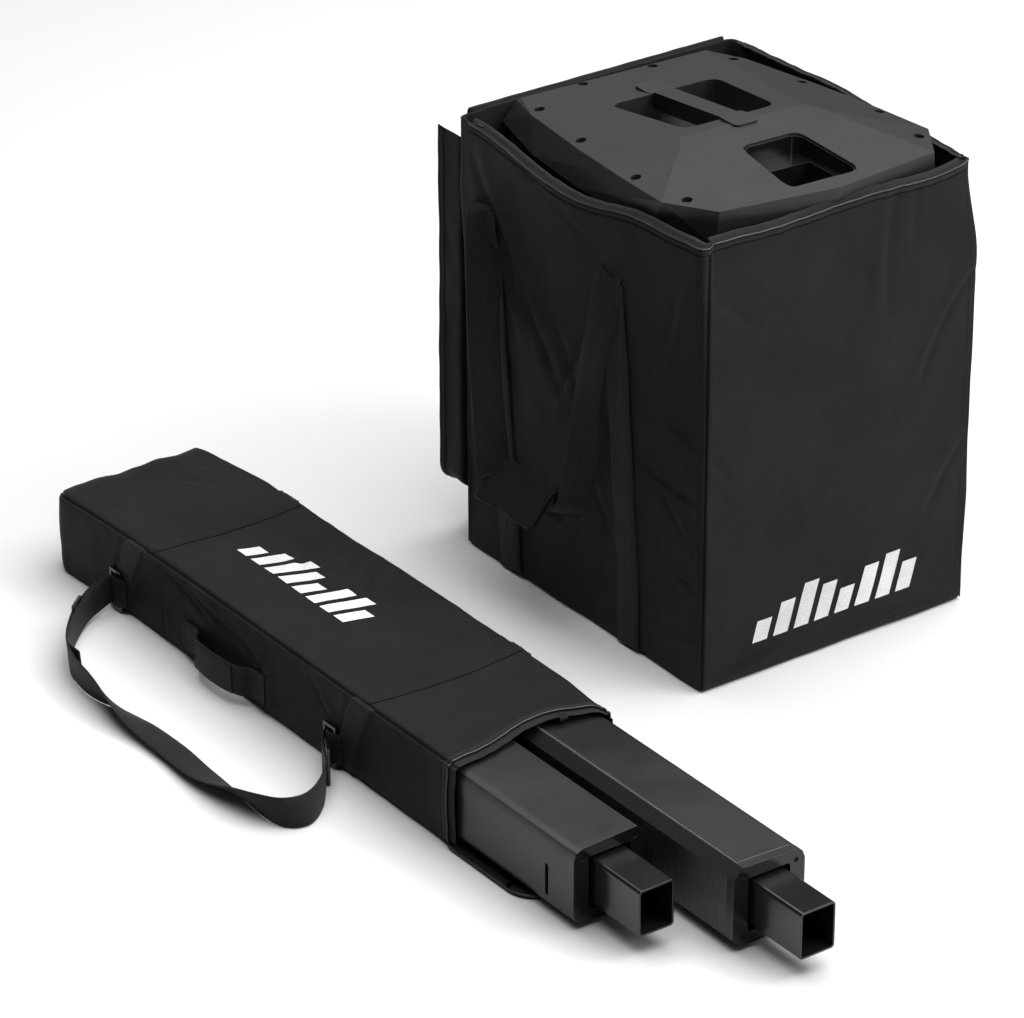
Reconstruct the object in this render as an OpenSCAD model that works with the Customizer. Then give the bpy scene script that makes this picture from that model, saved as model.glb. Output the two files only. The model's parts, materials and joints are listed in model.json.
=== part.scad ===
// Column PA system packed for transport: a subwoofer in its open zip bag and
// two column loudspeakers half out of their long carry bag.
// The origin is the middle of the subwoofer bag's base, on the floor.
// +Z is up, -Y is the front of the subwoofer and the mouth of the long bag.

/* [Subwoofer bag] */
// Outside width of the subwoofer bag
bag_w = 392; // [390:1:398]
// Outside depth of the subwoofer bag
bag_d = 460; // [458:1:466]
// Height of the subwoofer bag's rim
bag_h = 556; // [553:1:560]
// Thickness of the padded cloth
bag_wall = 4; // [3.5:0.5:4]
// Height of the lid's skirt, with its half of the zip
lid_skirt = 38; // [38:1:46]

/* [Subwoofer] */
// Width of the cabinet behind the grille
cab_front_w = 358; // [350:1:360]
// Width of the cabinet's back
cab_back_w = 298; // [290:1:304]
// Turn of the subwoofer inside its roomy bag, in degrees
sub_turn = 2.5; // [0:0.1:2.5]
// Height of the sloping plateau's front edge
plateau_front_z = 590; // [586:1:590]
// Height of the sloping plateau's back edge
plateau_back_z = 560; // [558:1:564]

/* [Columns] */
// Length of one column without its spigot
col_len = 715; // [700:1:720]
// Height of a column's grille side
col_front_h = 96; // [94:1:96]
// Height of a column's back
col_back_h = 90; // [84:1:92]
// Depth of a column from grille to back
col_depth = 94; // [90:1:95]
// Length of spigot that stands out of the end cap
spigot_out = 80; // [70:1:84]
// How far the riser column's end cap stands out of the long bag
riser_out = 212; // [150:1:260]
// How far the speaker column's end cap stands out of the long bag
speaker_out = 343; // [250:1:380]

/* [Long bag] */
// Outside width of the long bag
long_w = 214; // [212:1:220]
// Outside height of the long bag
long_h = 106; // [106:1:110]
// Length of the long bag from its rim to its closed end
long_len = 806; // [800:1:830]
// Thickness of the long bag's cloth
long_wall = 3.5; // [3:0.1:3.5]

/* [Hidden] */
$fn = 48;
tiny = 0.02;
gap = 0.4;
black_cloth = "#1d1d20";
black_web = "#27272b";
black_shell = "#2f3033";
black_gloss = "#101012";
steel = "#8d9096";
copper_board = "#2c5a3c";

// Places of the long bag and of the columns in it
long_x = -507.5;
long_rim_y = -331;
long_end_y = long_rim_y + long_len;
col_z = 52.5;
riser_back_x = long_x - long_w / 2 + long_wall + 3;
speaker_back_x = long_x + long_w / 2 - long_wall - 3;
riser_cap_y = long_rim_y - riser_out;
speaker_cap_y = long_rim_y - speaker_out;

// Column end pieces and section
cap_t = 12;
spigot_x = 46;
spigot_z = 56;
spigot_wall = 2.6;
well_depth = 26;
col_skin = 2.5;
front_chamfer = 12;
back_round = 12;
grille_t = 1.5;
grille_reach = 16;
driver_count = 4;
driver_pitch = 150;

// Levels of the subwoofer above the floor
base_board_t = 4;
foot_h = 10;
cab_z = bag_wall + base_board_t + foot_h + gap;
cab_top_z = 534;
board_t = 15;
cab_back_y = 205;
cab_front_y = -172;
apex_y = -223;
woofer_z = 300;
woofer_r = 132;
port_z = 98;
port_r = 38;
amp_z = 245;
amp_y = cab_back_y - 10;

// The column socket in the top shell
socket_y = -151;
socket_lip_z = 565;
socket_depth = 92;

// The handle pocket in the top shell
pocket_y = [-18, 115];
pocket_floor_z = 538;

// The lid's hinge line, behind the rim
lid_t = 5;
lid_gap = 3;
lid_top_closed = bag_h + lid_skirt + lid_t;
lid_hang_top = bag_h - 30;
hinge_sum = bag_d / 2 + lid_gap + lid_top_closed;
hinge_diff = lid_hang_top - bag_d / 2;
hinge_y = (hinge_sum - hinge_diff) / 2;
hinge_z = (hinge_sum + hinge_diff) / 2;
zip_h = 8;
zip_t = 2.5;

// Carry handles
web_w = 40;
web_t = 2.5;
handle_top_z = 452;
handle_near_y = -66;
handle_far_y = 176;
grip_w = 112;
grip_y = 62;
grip_z = 152;

// ---------------------------------------------------------------- shared

// A rectangle with round corners, centred on the origin
module round_rect(w, d, r) {
    square([w - 2 * r, d], center = true);
    square([w, d - 2 * r], center = true);
    for (sx = [-1, 1], sy = [-1, 1])
        translate([sx * (w / 2 - r), sy * (d / 2 - r)]) circle(r);
}

// Points of a list with their mirror images in the YZ plane, as one outline
function with_mirror(half) = concat(
    half,
    [for (i = [len(half) - 1 : -1 : 0]) if (abs(half[i][0]) > tiny) [-half[i][0], half[i][1]]]
);

// The same for points in space
function with_mirror_3d(half) = concat(
    half,
    [for (p = half) if (abs(p[0]) > tiny) [-p[0], p[1], p[2]]]
);

// Convex solid over points in space
module over_points(points)
    hull() for (p = points) translate(p) cube(tiny, center = true);

// Places a part of the subwoofer, which stands a little askew in its bag
module in_bag() rotate([0, 0, -sub_turn]) children();

// ---------------------------------------------------------------- subwoofer bag

module sub_bag_shell() color(black_cloth) difference() {
    linear_extrude(bag_h - zip_h) round_rect(bag_w, bag_d, 20);
    translate([0, 0, bag_wall]) linear_extrude(bag_h)
        round_rect(bag_w - 2 * bag_wall, bag_d - 2 * bag_wall, 20 - bag_wall);
}

module sub_bag_base_board() color("#5b4a38")
    translate([0, 0, bag_wall])
        linear_extrude(base_board_t)
            round_rect(bag_w - 2 * bag_wall - 6, bag_d - 2 * bag_wall - 6, 12);

// A zip half round the three free sides of the rim
module zip_half() difference() {
    linear_extrude(zip_h) round_rect(bag_w - 1, bag_d - 1, 19.5);
    translate([0, 0, -1]) linear_extrude(zip_h + 2)
        round_rect(bag_w - 1 - 2 * zip_t, bag_d - 1 - 2 * zip_t, 17);
    translate([-bag_w / 2, bag_d / 2 - 26, -1]) cube([bag_w, 40, zip_h + 2]);
}

module sub_bag_rim_zip() color(black_web)
    translate([0, 0, bag_h - zip_h]) zip_half();

// The sewn runs of carry webbing, which lean back a little towards the top
module webbing_run(side, top_y, lean)
    translate([side * (bag_w / 2 + web_t / 2), top_y, handle_top_z])
        rotate([-lean, 0, 0]) translate([-web_t / 2, -web_w / 2, -handle_top_z + 6])
            cube([web_t, web_w, handle_top_z - 8]);

module sub_bag_webbing() color(black_web)
    for (side = [-1, 1]) {
        webbing_run(side, handle_near_y, 3.4);
        webbing_run(side, handle_far_y, 5.2);
    }

// The lid as it lies when shut: a panel with a skirt on three sides
module lid_shut() difference() {
    translate([0, 0, bag_h + zip_h]) linear_extrude(lid_skirt + lid_t - zip_h)
        round_rect(bag_w, bag_d, 20);
    translate([0, 0, bag_h + zip_h - 1]) linear_extrude(lid_skirt - zip_h + 1)
        round_rect(bag_w - 2 * bag_wall, bag_d - 2 * bag_wall, 20 - bag_wall);
    translate([-bag_w / 2, bag_d / 2 - 26, bag_h + zip_h - 1])
        cube([bag_w, 40, lid_skirt - zip_h + 1]);
}

// Swings a shut lid piece over to hang behind the bag
module hung() translate([0, hinge_y, hinge_z]) rotate([90, 0, 0])
    translate([0, -hinge_y, -hinge_z]) children();

module sub_bag_lid() color(black_cloth) hung() lid_shut();

module sub_bag_lid_zip() color(black_web)
    hung() translate([0, 0, bag_h + gap]) resize_zip();

module resize_zip() difference() {
    linear_extrude(zip_h - gap) round_rect(bag_w - 1, bag_d - 1, 19.5);
    translate([0, 0, -1]) linear_extrude(zip_h + 2)
        round_rect(bag_w - 1 - 2 * zip_t, bag_d - 1 - 2 * zip_t, 17);
    translate([-bag_w / 2, bag_d / 2 - 26, -1]) cube([bag_w, 40, zip_h + 2]);
}

// A zip slider with its pull tab, parked at the back of one side
module zip_slider(side) translate([side * (bag_w / 2 + gap), bag_d / 2 - 46, 0]) {
    translate([side > 0 ? 0 : -4, 0, bag_h - 8.6]) cube([4, 11, 8]);
    translate([side > 0 ? 1 : -2.6, 3, bag_h - 31]) cube([1.6, 5, 24]);
}

module sub_bag_zip_slider_left() color(steel) zip_slider(-1);
module sub_bag_zip_slider_right() color(steel) zip_slider(1);

// The free loop of one carry handle: two webbing runs that meet in the grip
module handle_loop(side) translate([side * (bag_w / 2 + 2 * web_t + 1), 0, handle_top_z])
    rotate([0, -side * 5, 0]) translate([0, 0, -handle_top_z])
        rotate([90, 0, 90]) translate([0, 0, -web_t / 2]) linear_extrude(web_t) {
            polygon([
                [handle_near_y - web_w / 2, handle_top_z],
                [handle_near_y + web_w / 2, handle_top_z],
                [grip_y - 20, grip_z + 26],
                [grip_y - 60, grip_z + 26]
            ]);
            polygon([
                [handle_far_y - web_w / 2, handle_top_z],
                [handle_far_y + web_w / 2, handle_top_z],
                [grip_y + 60, grip_z + 26],
                [grip_y + 20, grip_z + 26]
            ]);
        }

// The folded flap that closes round both runs
module handle_grip(side) translate([side * (bag_w / 2 + 45), grip_y, grip_z])
    rotate([0, -side * 41, 0]) rotate([90, 0, 0]) translate([0, 0, -grip_w / 2])
        linear_extrude(grip_w) round_rect(13, 62, 5);

module carry_handle_left() color(black_web) difference() {
    handle_loop(-1);
    handle_grip(-1);
}
module carry_handle_right() color(black_web) difference() {
    handle_loop(1);
    handle_grip(1);
}
module carry_grip_left() color(black_cloth) handle_grip(-1);
module carry_grip_right() color(black_cloth) handle_grip(1);

// ---------------------------------------------------------------- subwoofer

// Plan of the cabinet, inset by t: it tapers towards the back
function cab_outline(t) = with_mirror([
    [cab_front_w / 2 - 31 - t * 0.5, cab_front_y + t],
    [cab_front_w / 2 - t, -138 + t * 0.5],
    [cab_back_w / 2 - t, cab_back_y - t]
]);

// Five boards: the moulded top shell closes the cabinet
module sub_cabinet() color(black_shell) in_bag() difference() {
    translate([0, 0, cab_z]) linear_extrude(cab_top_z - cab_z - gap / 2) polygon(cab_outline(0));
    translate([0, 0, cab_z + board_t]) linear_extrude(cab_top_z) polygon(cab_outline(board_t));
    translate([0, 0, woofer_z]) rotate([90, 0, 0]) cylinder(r = woofer_r - 14, h = 300);
    translate([0, 0, port_z]) rotate([90, 0, 0]) cylinder(r = port_r, h = 300);
    translate([-110, amp_y - 30, amp_z - 150]) cube([220, 80, 300]);
    translate([-122, amp_y, amp_z - 162]) cube([244, 40, 324]);
    translate([-42, socket_y - 35, socket_lip_z - socket_depth - 2]) cube([84, 72, 120]);
}

// Outside of the top shell, shrunk by t towards its middle: its foot, the
// ridge outside the screws and the plateau round the handle
function shell_points(t) = concat(
    with_mirror_3d([
        [cab_back_w / 2 + 3 - t, shell_back_y + 2 - t, cab_top_z - t],
        [178 - t, 115, cab_top_z - t],
        [186.5 - t, 10, cab_top_z - t],
        [187 - t, -50, cab_top_z - t],
        [185.5 - t, -128 + t * 0.5, cab_top_z - t],
        [151 - t * 0.4, -201 + t, cab_top_z - t],
        [0, apex_y + t, cab_top_z - t]
    ]),
    with_mirror_3d([
        [134 - t, shell_back_y + 1 - t, 557 - t],
        [151 - t, 160, 562 - t],
        [168 - t, 40, 567 - t],
        [178 - t, -60, 571 - t],
        [183.5 - t, -144 + t * 0.5, 574 - t],
        [147 - t * 0.4, -202 + t, 575 - t],
        [0, apex_y + 1 + t, 575.5 - t]
    ]),
    with_mirror_3d([
        [130 - t, plateau_edge_y - t, plateau_back_z - t],
        [97 - t, -57 + t, plateau_front_z - 1.5 - t],
        [85 - t, plateau_y + t, plateau_front_z - t]
    ])
);
shell_back_y = 216;
plateau_edge_y = 212;
plateau_y = -39;

module shell_form(t) over_points(shell_points(t));

// The handle pocket's outline, grown by t
module pocket_outline(t) polygon(with_mirror([
    [50 + t, pocket_y[0] - t],
    [59 + t, pocket_y[0] + 3 - t],
    [64 + t, pocket_y[0] + 12],
    [73 + t, pocket_y[1] - 14],
    [71 + t, pocket_y[1] - 5 + t],
    [62 + t, pocket_y[1] + t]
]));

// The column socket pocket's outline, grown by t
module socket_outline(t) polygon(with_mirror([
    [36 + t, -198 - t],
    [44 + t, -195 - t],
    [48 + t, -186],
    [41 + t, -102],
    [38 + t, -94 + t],
    [30 + t, -90 + t]
]));

// Places of the top screws on the right half
screw_spots = [[136, 165, 563], [154, 55, 568], [168, -73, 573], [159, -158, 575], [49, 205, 561]];
screw_sink = 6;

module sub_top_shell() color(black_shell) in_bag() difference() {
    shell_form(0);
    intersection() {
        shell_form(4);
        translate([-300, -300, cab_top_z - 1]) linear_extrude(60) difference() {
            square(600);
            translate([300, 300]) pocket_outline(3);
            translate([300, 300]) socket_outline(3);
            for (side = [-1, 1], p = screw_spots)
                translate([300 + side * p[0], 300 + p[1]]) circle(9);
        }
    }
    translate([0, 0, pocket_floor_z]) linear_extrude(100) pocket_outline(0);
    translate([0, 0, cab_top_z - 10]) linear_extrude(100) socket_outline(0);
    for (end = [0, 1]) pad_place(end) linear_extrude(40) round_rect(33.6, 34.6, 7.3);
    for (side = [-1, 1], p = screw_spots)
        translate([side * p[0], p[1], p[2] - screw_sink]) cylinder(r = 6.2, h = 40);
}

// Seats of the handle's end pads: the near one and the far one
pad_y = [pocket_y[0] - 16, pocket_y[1] + 18];
module pad_place(end) translate([0, pad_y[end], plateau_z(pad_y[end]) - 7]) children();

function plateau_z(y) = plateau_back_z + (plateau_front_z - plateau_back_z)
    * (plateau_edge_y - y) / (plateau_edge_y - plateau_y);

// A grab bar along the middle of the pocket with an end pad at each end
module sub_handle_bar() color(black_shell) in_bag() {
    over_points([for (sx = [-1, 1], y = [pocket_y[0] + gap, pocket_y[1] - gap], z = [-21, -0.5])
        [sx * (z < -1 ? 9 : 13), y, plateau_z(y) + z]]);
    for (end = [0, 1]) pad_place(end) linear_extrude(6.6) round_rect(33, 34, 7);
}

// A liner with a floor, a raised lip and a deep square sleeve for a spigot
module sub_column_socket() color(black_gloss) in_bag() difference() {
    union() {
        intersection() {
            translate([0, 0, socket_lip_z - 8]) linear_extrude(60)
                socket_outline(-gap);
            union() {
                translate([-60, -240, socket_lip_z - 8]) cube([120, 200, 4]);
                translate([-60, -240, socket_lip_z - 8]) linear_extrude(30)
                    difference() {
                        square([120, 200]);
                        translate([60, 240]) socket_outline(-2.4);
                    }
            }
            shell_form(2);
        }
        translate([0, socket_y, socket_lip_z - socket_depth])
            linear_extrude(socket_depth) round_rect(spigot_z + 6, spigot_x + 6, 5);
    }
    translate([0, socket_y, socket_lip_z - socket_depth + 4])
        linear_extrude(socket_depth) round_rect(spigot_z + 1.2, spigot_x + 1.2, 3);
}

// Four contact blades that stand on the floor of the socket
module sub_socket_contacts() color("#b8953f") in_bag()
    for (i = [0 : 3])
        translate([-15 + i * 10, socket_y, socket_lip_z - socket_depth + 4])
            translate([-1, -5, 0]) cube([2, 10, 14]);

module sub_top_screws() color(steel) in_bag()
    for (side = [-1, 1], p = screw_spots)
        translate([side * p[0], p[1], p[2] - screw_sink]) difference() {
            cylinder(r1 = 4.6, r2 = 4.2, h = 3);
            translate([0, 0, 1.4]) cylinder(r = 2, h = 4, $fn = 6);
        }

// A shallow V of perforated sheet in front of the baffle
module sub_grille() color("#242528") in_bag()
    translate([0, 0, cab_z + 4]) linear_extrude(cab_top_z - cab_z - 8) difference() {
        polygon(with_mirror([
            [0, apex_y + 4],
            [cab_front_w / 2 - 34, cab_front_y - gap - 6],
            [cab_front_w / 2 - 34, cab_front_y - gap]
        ]));
        polygon(with_mirror([
            [0, apex_y + 4 + grille_t],
            [cab_front_w / 2 - 34 - grille_t, cab_front_y - gap - 5 + grille_t],
            [cab_front_w / 2 - 34 - grille_t, cab_front_y + 5]
        ]));
    }

// Placed on the baffle with the woofer's axis along -Y
module on_baffle(z) in_bag() translate([0, cab_front_y, z]) rotate([90, 0, 0]) children();

module sub_woofer_frame() color("#3a3c40") on_baffle(woofer_z) rotate_extrude($fn = 64)
    polygon([
        [114, 0.3], [woofer_r, 0.3], [woofer_r, 5], [111, 5], [108, -10],
        [57, -60], [57, -66], [66, -66], [66, -62], [112, -14]
    ]);

// The cone stands clear of its frame so that it can travel
module sub_woofer_cone() color("#18181a") on_baffle(woofer_z) rotate_extrude($fn = 64)
    polygon([
        [0, -22], [16, -25], [34, -31], [98, 2], [103, 5], [107, 2], [107, -0.5],
        [103, 2], [99, -1], [34, -35], [26, -35], [26, -50], [24, -50], [24, -32], [0, -27]
    ]);

module sub_woofer_magnet() color(steel) on_baffle(woofer_z) difference() {
    translate([0, 0, -114]) cylinder(r = 70, h = 48);
    translate([0, 0, -104]) cylinder(r = 28, h = 60);
}

module sub_port_tube() color("#1b1b1d") on_baffle(port_z) difference() {
    union() {
        translate([0, 0, -150]) cylinder(r = port_r - 0.2, h = 150.5);
        translate([0, 0, 0.3]) cylinder(r = port_r + 9, h = 3);
    }
    translate([0, 0, -151]) cylinder(r = port_r - 4, h = 160);
}

module sub_feet() color("#202022") in_bag()
    for (side = [-1, 1], spot = [[128, 172], [146, -132]])
        translate([side * spot[0], spot[1], bag_wall + base_board_t])
            cylinder(r1 = 15, r2 = 17, h = foot_h + gap);

// Places a piece on the amplifier panel, whose axis points out of the back
module on_panel(x, z) in_bag() translate([x, amp_y + 3, z]) rotate([-90, 0, 0]) children();

module sub_amp_panel() color("#232427") in_bag() difference() {
    union() {
        translate([-121, amp_y, amp_z - 161]) cube([242, 3, 322]);
        for (i = [0 : 11])
            translate([-95 + i * 17, amp_y + 3, amp_z - 150]) cube([3, 5, 100]);
    }
    translate([-40, amp_y, amp_z + 118]) rotate([-90, 0, 0])
        translate([0, 0, -1]) cylinder(r = 3.2, h = 6);
    translate([0, amp_y, amp_z + 118]) rotate([-90, 0, 0])
        translate([0, 0, -1]) cylinder(r = 3.2, h = 6);
    translate([40, amp_y, amp_z + 118]) rotate([-90, 0, 0])
        translate([0, 0, -1]) cylinder(r = 4.4, h = 6);
    translate([70, amp_y - 1, amp_z - 27.5]) cube([16, 6, 25]);
    translate([mains_x - 16, amp_y - 1, amp_z - 27]) cube([32, 6, 24]);
    translate([-88, amp_y - 1, amp_z + 41]) cube([176, 6, 28]);
}

// The circuit board on four posts behind the panel
module sub_amp_board() color(copper_board) in_bag() {
    translate([-100, amp_y - 24, amp_z - 20]) cube([200, 1.6, 160]);
    for (x = [-96, 96], z = [-12, 132])
        translate([x, amp_y - 22.4, amp_z + z]) rotate([-90, 0, 0]) cylinder(r = 3, h = 22.4);
}

module sub_amp_transformer() color("#8a5a34") in_bag()
    translate([0, amp_y - 40, amp_z - 95]) rotate([-90, 0, 0]) difference() {
        cylinder(r = 48, h = 40);
        translate([0, 0, -1]) cylinder(r = 14, h = 42);
    }

// A mains inlet, two combined microphone inlets and two line outlets, each a
// tile in a window of the panel with a blind socket behind it
mains_x = -78;
inlet_x = [-66, -22, 22, 66];
socket_reach = 17;

module sub_amp_inlets() color("#141416") {
    on_panel(mains_x, amp_z - 15) difference() {
        union() {
            translate([-15.8, -11.8, -3]) cube([31.6, 23.6, 4]);
            translate([-12.8, -8.8, -socket_reach]) cube([25.6, 17.6, socket_reach]);
        }
        translate([-11, -7, 3 - socket_reach]) cube([22, 14, 20]);
    }
    for (x = inlet_x) on_panel(x, amp_z + 55) difference() {
        union() {
            translate([-21.8, -13.8, -3]) cube([43.6, 27.6, 3]);
            translate([0, 0, -socket_reach]) cylinder(r = 10.8, h = socket_reach + 1);
        }
        translate([0, 0, 3 - socket_reach]) cylinder(r = 9, h = 20);
    }
}

module sub_amp_screws() color(steel)
    for (x = [-1, 1], z = [-1, 0, 1]) on_panel(x * 113, amp_z + z * 152)
        cylinder(r1 = 4, r2 = 3, h = 2.2);

module sub_power_switch() color("#19191b") in_bag()
    translate([70.6, amp_y - 6, amp_z - 26.4]) cube([14.8, 11, 22.8]);

// A round knob on a short shaft
module panel_knob(x) on_panel(x, amp_z + 118) difference() {
    union() {
        translate([0, 0, -8]) cylinder(r = 3, h = 9);
        translate([0, 0, 0.6]) cylinder(r1 = 10, r2 = 8.6, h = 8);
    }
    translate([-0.7, -12, 8]) cube([1.4, 10, 2]);
}

module sub_level_knob() color("#2a2b2e") panel_knob(-40);
module sub_bass_knob() color("#2a2b2e") panel_knob(0);
module sub_mode_button() color("#6c6f75") on_panel(40, amp_z + 118)
    translate([0, 0, -6]) cylinder(r = 4, h = 9.5);

// ---------------------------------------------------------------- long bag

// Section of the long bag, inset by t, with the open way along Y
module long_section(t) translate([long_x, long_h / 2])
    round_rect(long_w - 2 * t, long_h - 2 * t, 16 - t);

// Extrudes an outline given in X and Z along Y from y0 to y1
module along_y(y0, y1) translate([0, y1, 0]) rotate([90, 0, 0])
    linear_extrude(y1 - y0) children();

module long_bag_shell() color(black_cloth) difference() {
    along_y(long_rim_y + 6, long_end_y) long_section(0);
    along_y(long_rim_y, long_end_y - long_wall) long_section(long_wall);
}

module long_bag_rim_zip() color(black_web) difference() {
    along_y(long_rim_y, long_rim_y + 6) long_section(0.4);
    along_y(long_rim_y - 1, long_rim_y + 7) long_section(2.9);
}

// The end flap, which lies open on the floor under the columns
module long_bag_flap() color(black_cloth)
    translate([long_x, long_rim_y - 72, 0]) linear_extrude(3.2)
        intersection() {
            round_rect(long_w + 4, 2 * 72, 36);
            translate([-200, -100]) square([400, 171.6]);
        }

// Two webbing bands sewn over the top and down both sides
band_t = 1.2;
band_foot = 18;
module long_bag_bands() color(black_web)
    for (y = [-150, 310]) difference() {
        along_y(y, y + web_w) translate([long_x, long_h / 2])
            round_rect(long_w + 2 * band_t, long_h + 2 * band_t, 16 + band_t);
        along_y(y - 1, y + web_w + 1) translate([long_x, long_h / 2])
            round_rect(long_w, long_h, 16);
        translate([long_x - 200, y - 1, -20]) cube([400, web_w + 2, 20 + band_foot]);
    }

// A short strap on the bag's left side with a patch at each end
module long_bag_grab_handle() color(black_web)
    translate([long_x - long_w / 2, 0, 14]) linear_extrude(38) polygon([
        [0, 6], [0, 52], [-3, 52], [-17, 60], [-17, 142], [-3, 152], [0, 152],
        [0, 196], [-3, 196], [-3, 155], [-20, 146], [-20, 54], [-5, 49], [-3, 6]
    ]);

module long_bag_zip_slider() color(steel)
    translate([long_x + 40, long_rim_y + 1, long_h + gap]) {
        cube([11, 8, 4]);
        translate([3, 6, 1]) cube([5, 22, 1.6]);
    }

// The middle line of the shoulder strap, seen from above
strap_line = [
    [-622, -104], [-634, -118], [-652, -150], [-680, -182], [-712, -200], [-734, -190],
    [-745, -160], [-748, -100], [-750, -20], [-751, 60], [-753, 130], [-752, 190],
    [-738, 240], [-706, 285], [-668, 318], [-634, 334]
];
strap_t = 3;

function unit(v) = v / norm(v);
function normal_at(line, i) = let (
    a = line[max(i - 1, 0)],
    b = line[min(i + 1, len(line) - 1)],
    d = unit(b - a)
) [-d[1], d[0]];

module shoulder_strap() color(black_web) translate([0, 0, 0.3]) linear_extrude(web_w - 2)
    polygon(concat(
        [for (i = [0 : len(strap_line) - 1]) strap_line[i] + normal_at(strap_line, i) * strap_t / 2],
        [for (i = [len(strap_line) - 1 : -1 : 0]) strap_line[i] - normal_at(strap_line, i) * strap_t / 2]
    ));

// A flat wire loop that joins the strap to a band
module strap_ring() difference() {
    translate([-1.8, -12, 0]) cube([3.6, 24, 52]);
    translate([-3, -8, 4.5]) cube([6, 16, 43]);
}

module strap_rings() color("#3c3d41") {
    translate([long_x - long_w / 2 - 5.2, -112, 2]) strap_ring();
    translate([long_x - long_w / 2 - 5.2, 330, 2]) strap_ring();
}

// A two-slot slider that lies against one straight stretch of the strap
module slider_at(i) let (a = strap_line[i], b = strap_line[i + 1], d = unit(b - a))
    translate([(a[0] + b[0]) / 2, (a[1] + b[1]) / 2, 0.5])
        multmatrix([[d[0], -d[1], 0, 0], [d[1], d[0], 0, 0], [0, 0, 1, 0], [0, 0, 0, 1]])
            translate([0, strap_t / 2, 0]) difference() {
                translate([-14, 0, 0]) cube([28, 4, 46]);
                translate([-10, -1, 5]) cube([8, 6, 36]);
                translate([2, -1, 5]) cube([8, 6, 36]);
            }

module strap_adjuster() color("#3c3d41") {
    slider_at(1);
    slider_at(13);
}

// ---------------------------------------------------------------- columns

// Section of a column in X and Z with its grille at X = 0, inset by t
function column_outline(t) = let (
    f = col_front_h / 2 - t,
    b = col_back_h / 2 - t,
    d = col_depth - t
) [
    [t, -f + front_chamfer], [front_chamfer + t * 0.4, -f], [d - back_round, -b],
    [d - back_round * 0.3, -b + back_round * 0.3], [d, -b + back_round],
    [d, b - back_round], [d - back_round * 0.3, b - back_round * 0.3],
    [d - back_round, b], [front_chamfer + t * 0.4, f], [t, f - front_chamfer]
];

// Places a column's section: the speaker's grille faces -X, the riser's +X
module as_speaker() translate([speaker_back_x - col_depth, 0, col_z]) children();
module as_riser() translate([riser_back_x + col_depth, 0, col_z]) mirror([1, 0, 0]) children();

// The channel behind the grille, closed at the top, back and bottom
module column_shell(cap_y, far_cap_t) difference() {
    along_y(cap_y + cap_t, cap_y + col_len - far_cap_t) polygon(column_outline(0));
    along_y(cap_y, cap_y + col_len) polygon(column_outline(col_skin));
    along_y(cap_y, cap_y + col_len) translate([-1, -60]) square([grille_reach + 1, 120]);
}

// A thin wrap over the front and its two chamfers
module column_grille(cap_y, far_cap_t) along_y(cap_y + cap_t, cap_y + col_len - far_cap_t)
    intersection() {
        difference() {
            polygon(column_outline(0));
            polygon(column_outline(grille_t));
        }
        translate([0, -60]) square([grille_reach - gap, 120]);
    }

// The end cap with its screw holes and the well that the spigot stands in
module column_end_cap(cap_y) difference() {
    union() {
        along_y(cap_y, cap_y + cap_t) polygon(column_outline(0));
        along_y(cap_y + cap_t, cap_y + well_depth + 3) translate([col_depth / 2, 0])
            round_rect(spigot_x + 14, spigot_z + 14, 4);
    }
    along_y(cap_y - 1, cap_y + well_depth) translate([col_depth / 2, 0])
        round_rect(spigot_x + 9, spigot_z + 9, 5);
    for (p = cap_screw_spots) translate([p[0], cap_y, p[1]]) rotate([-90, 0, 0])
        translate([0, 0, -1]) cylinder(r = 3.1, h = 5, $fn = 24);
}

cap_screw_spots = [[14, 37], [14, -37], [82, 33], [82, -33]];

// The rectangular tube that plugs into the next piece down
module column_spigot(cap_y) difference() {
    along_y(cap_y - spigot_out, cap_y + well_depth) translate([col_depth / 2, 0])
        round_rect(spigot_x, spigot_z, 4.5);
    along_y(cap_y - spigot_out - 1, cap_y + well_depth - 4) translate([col_depth / 2, 0])
        round_rect(spigot_x - 2 * spigot_wall, spigot_z - 2 * spigot_wall, 2.5);
}

module column_screws(cap_y) for (p = cap_screw_spots)
    translate([p[0], cap_y + 3.9, p[1]]) rotate([90, 0, 0]) difference() {
        cylinder(r = 2.7, h = 2.4, $fn = 24);
        translate([0, 0, 1.2]) cylinder(r = 1.3, h = 2, $fn = 6);
    }

// ---- riser: the lower column, which only lifts the speaker and links it

module riser_shell() color(black_shell) as_riser() difference() {
    column_shell(riser_cap_y, cap_t);
    translate([col_depth - 4, riser_cap_y + 47, -11]) rotate([0, 90, 0])
        linear_extrude(8) round_rect(38, 5.6, 2.7);
}

module riser_front_panel() color("#26272a") as_riser() column_grille(riser_cap_y, cap_t);
module riser_end_cap() color(black_shell) as_riser() column_end_cap(riser_cap_y);
module riser_spigot() color(black_gloss) as_riser() column_spigot(riser_cap_y);
module riser_screws() color(steel) as_riser() column_screws(riser_cap_y);

// The riser's far end takes the speaker column's spigot
module riser_socket_cap() color(black_shell) as_riser() difference() {
    union() {
        along_y(riser_cap_y + col_len - cap_t, riser_cap_y + col_len)
            polygon(column_outline(0));
        along_y(riser_cap_y + col_len - 86, riser_cap_y + col_len - cap_t)
            translate([col_depth / 2, 0]) round_rect(spigot_x + 6, spigot_z + 6, 5);
    }
    along_y(riser_cap_y + col_len - 83, riser_cap_y + col_len + 1)
        translate([col_depth / 2, 0]) round_rect(spigot_x + 1.2, spigot_z + 1.2, 3);
}

// ---- speaker: the upper column with the drivers

driver_bore_r = 34;
baffle_t = 4;

// Distance of one driver from the spigot end
function driver_y(i) = speaker_cap_y + 135 + i * driver_pitch;

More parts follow.
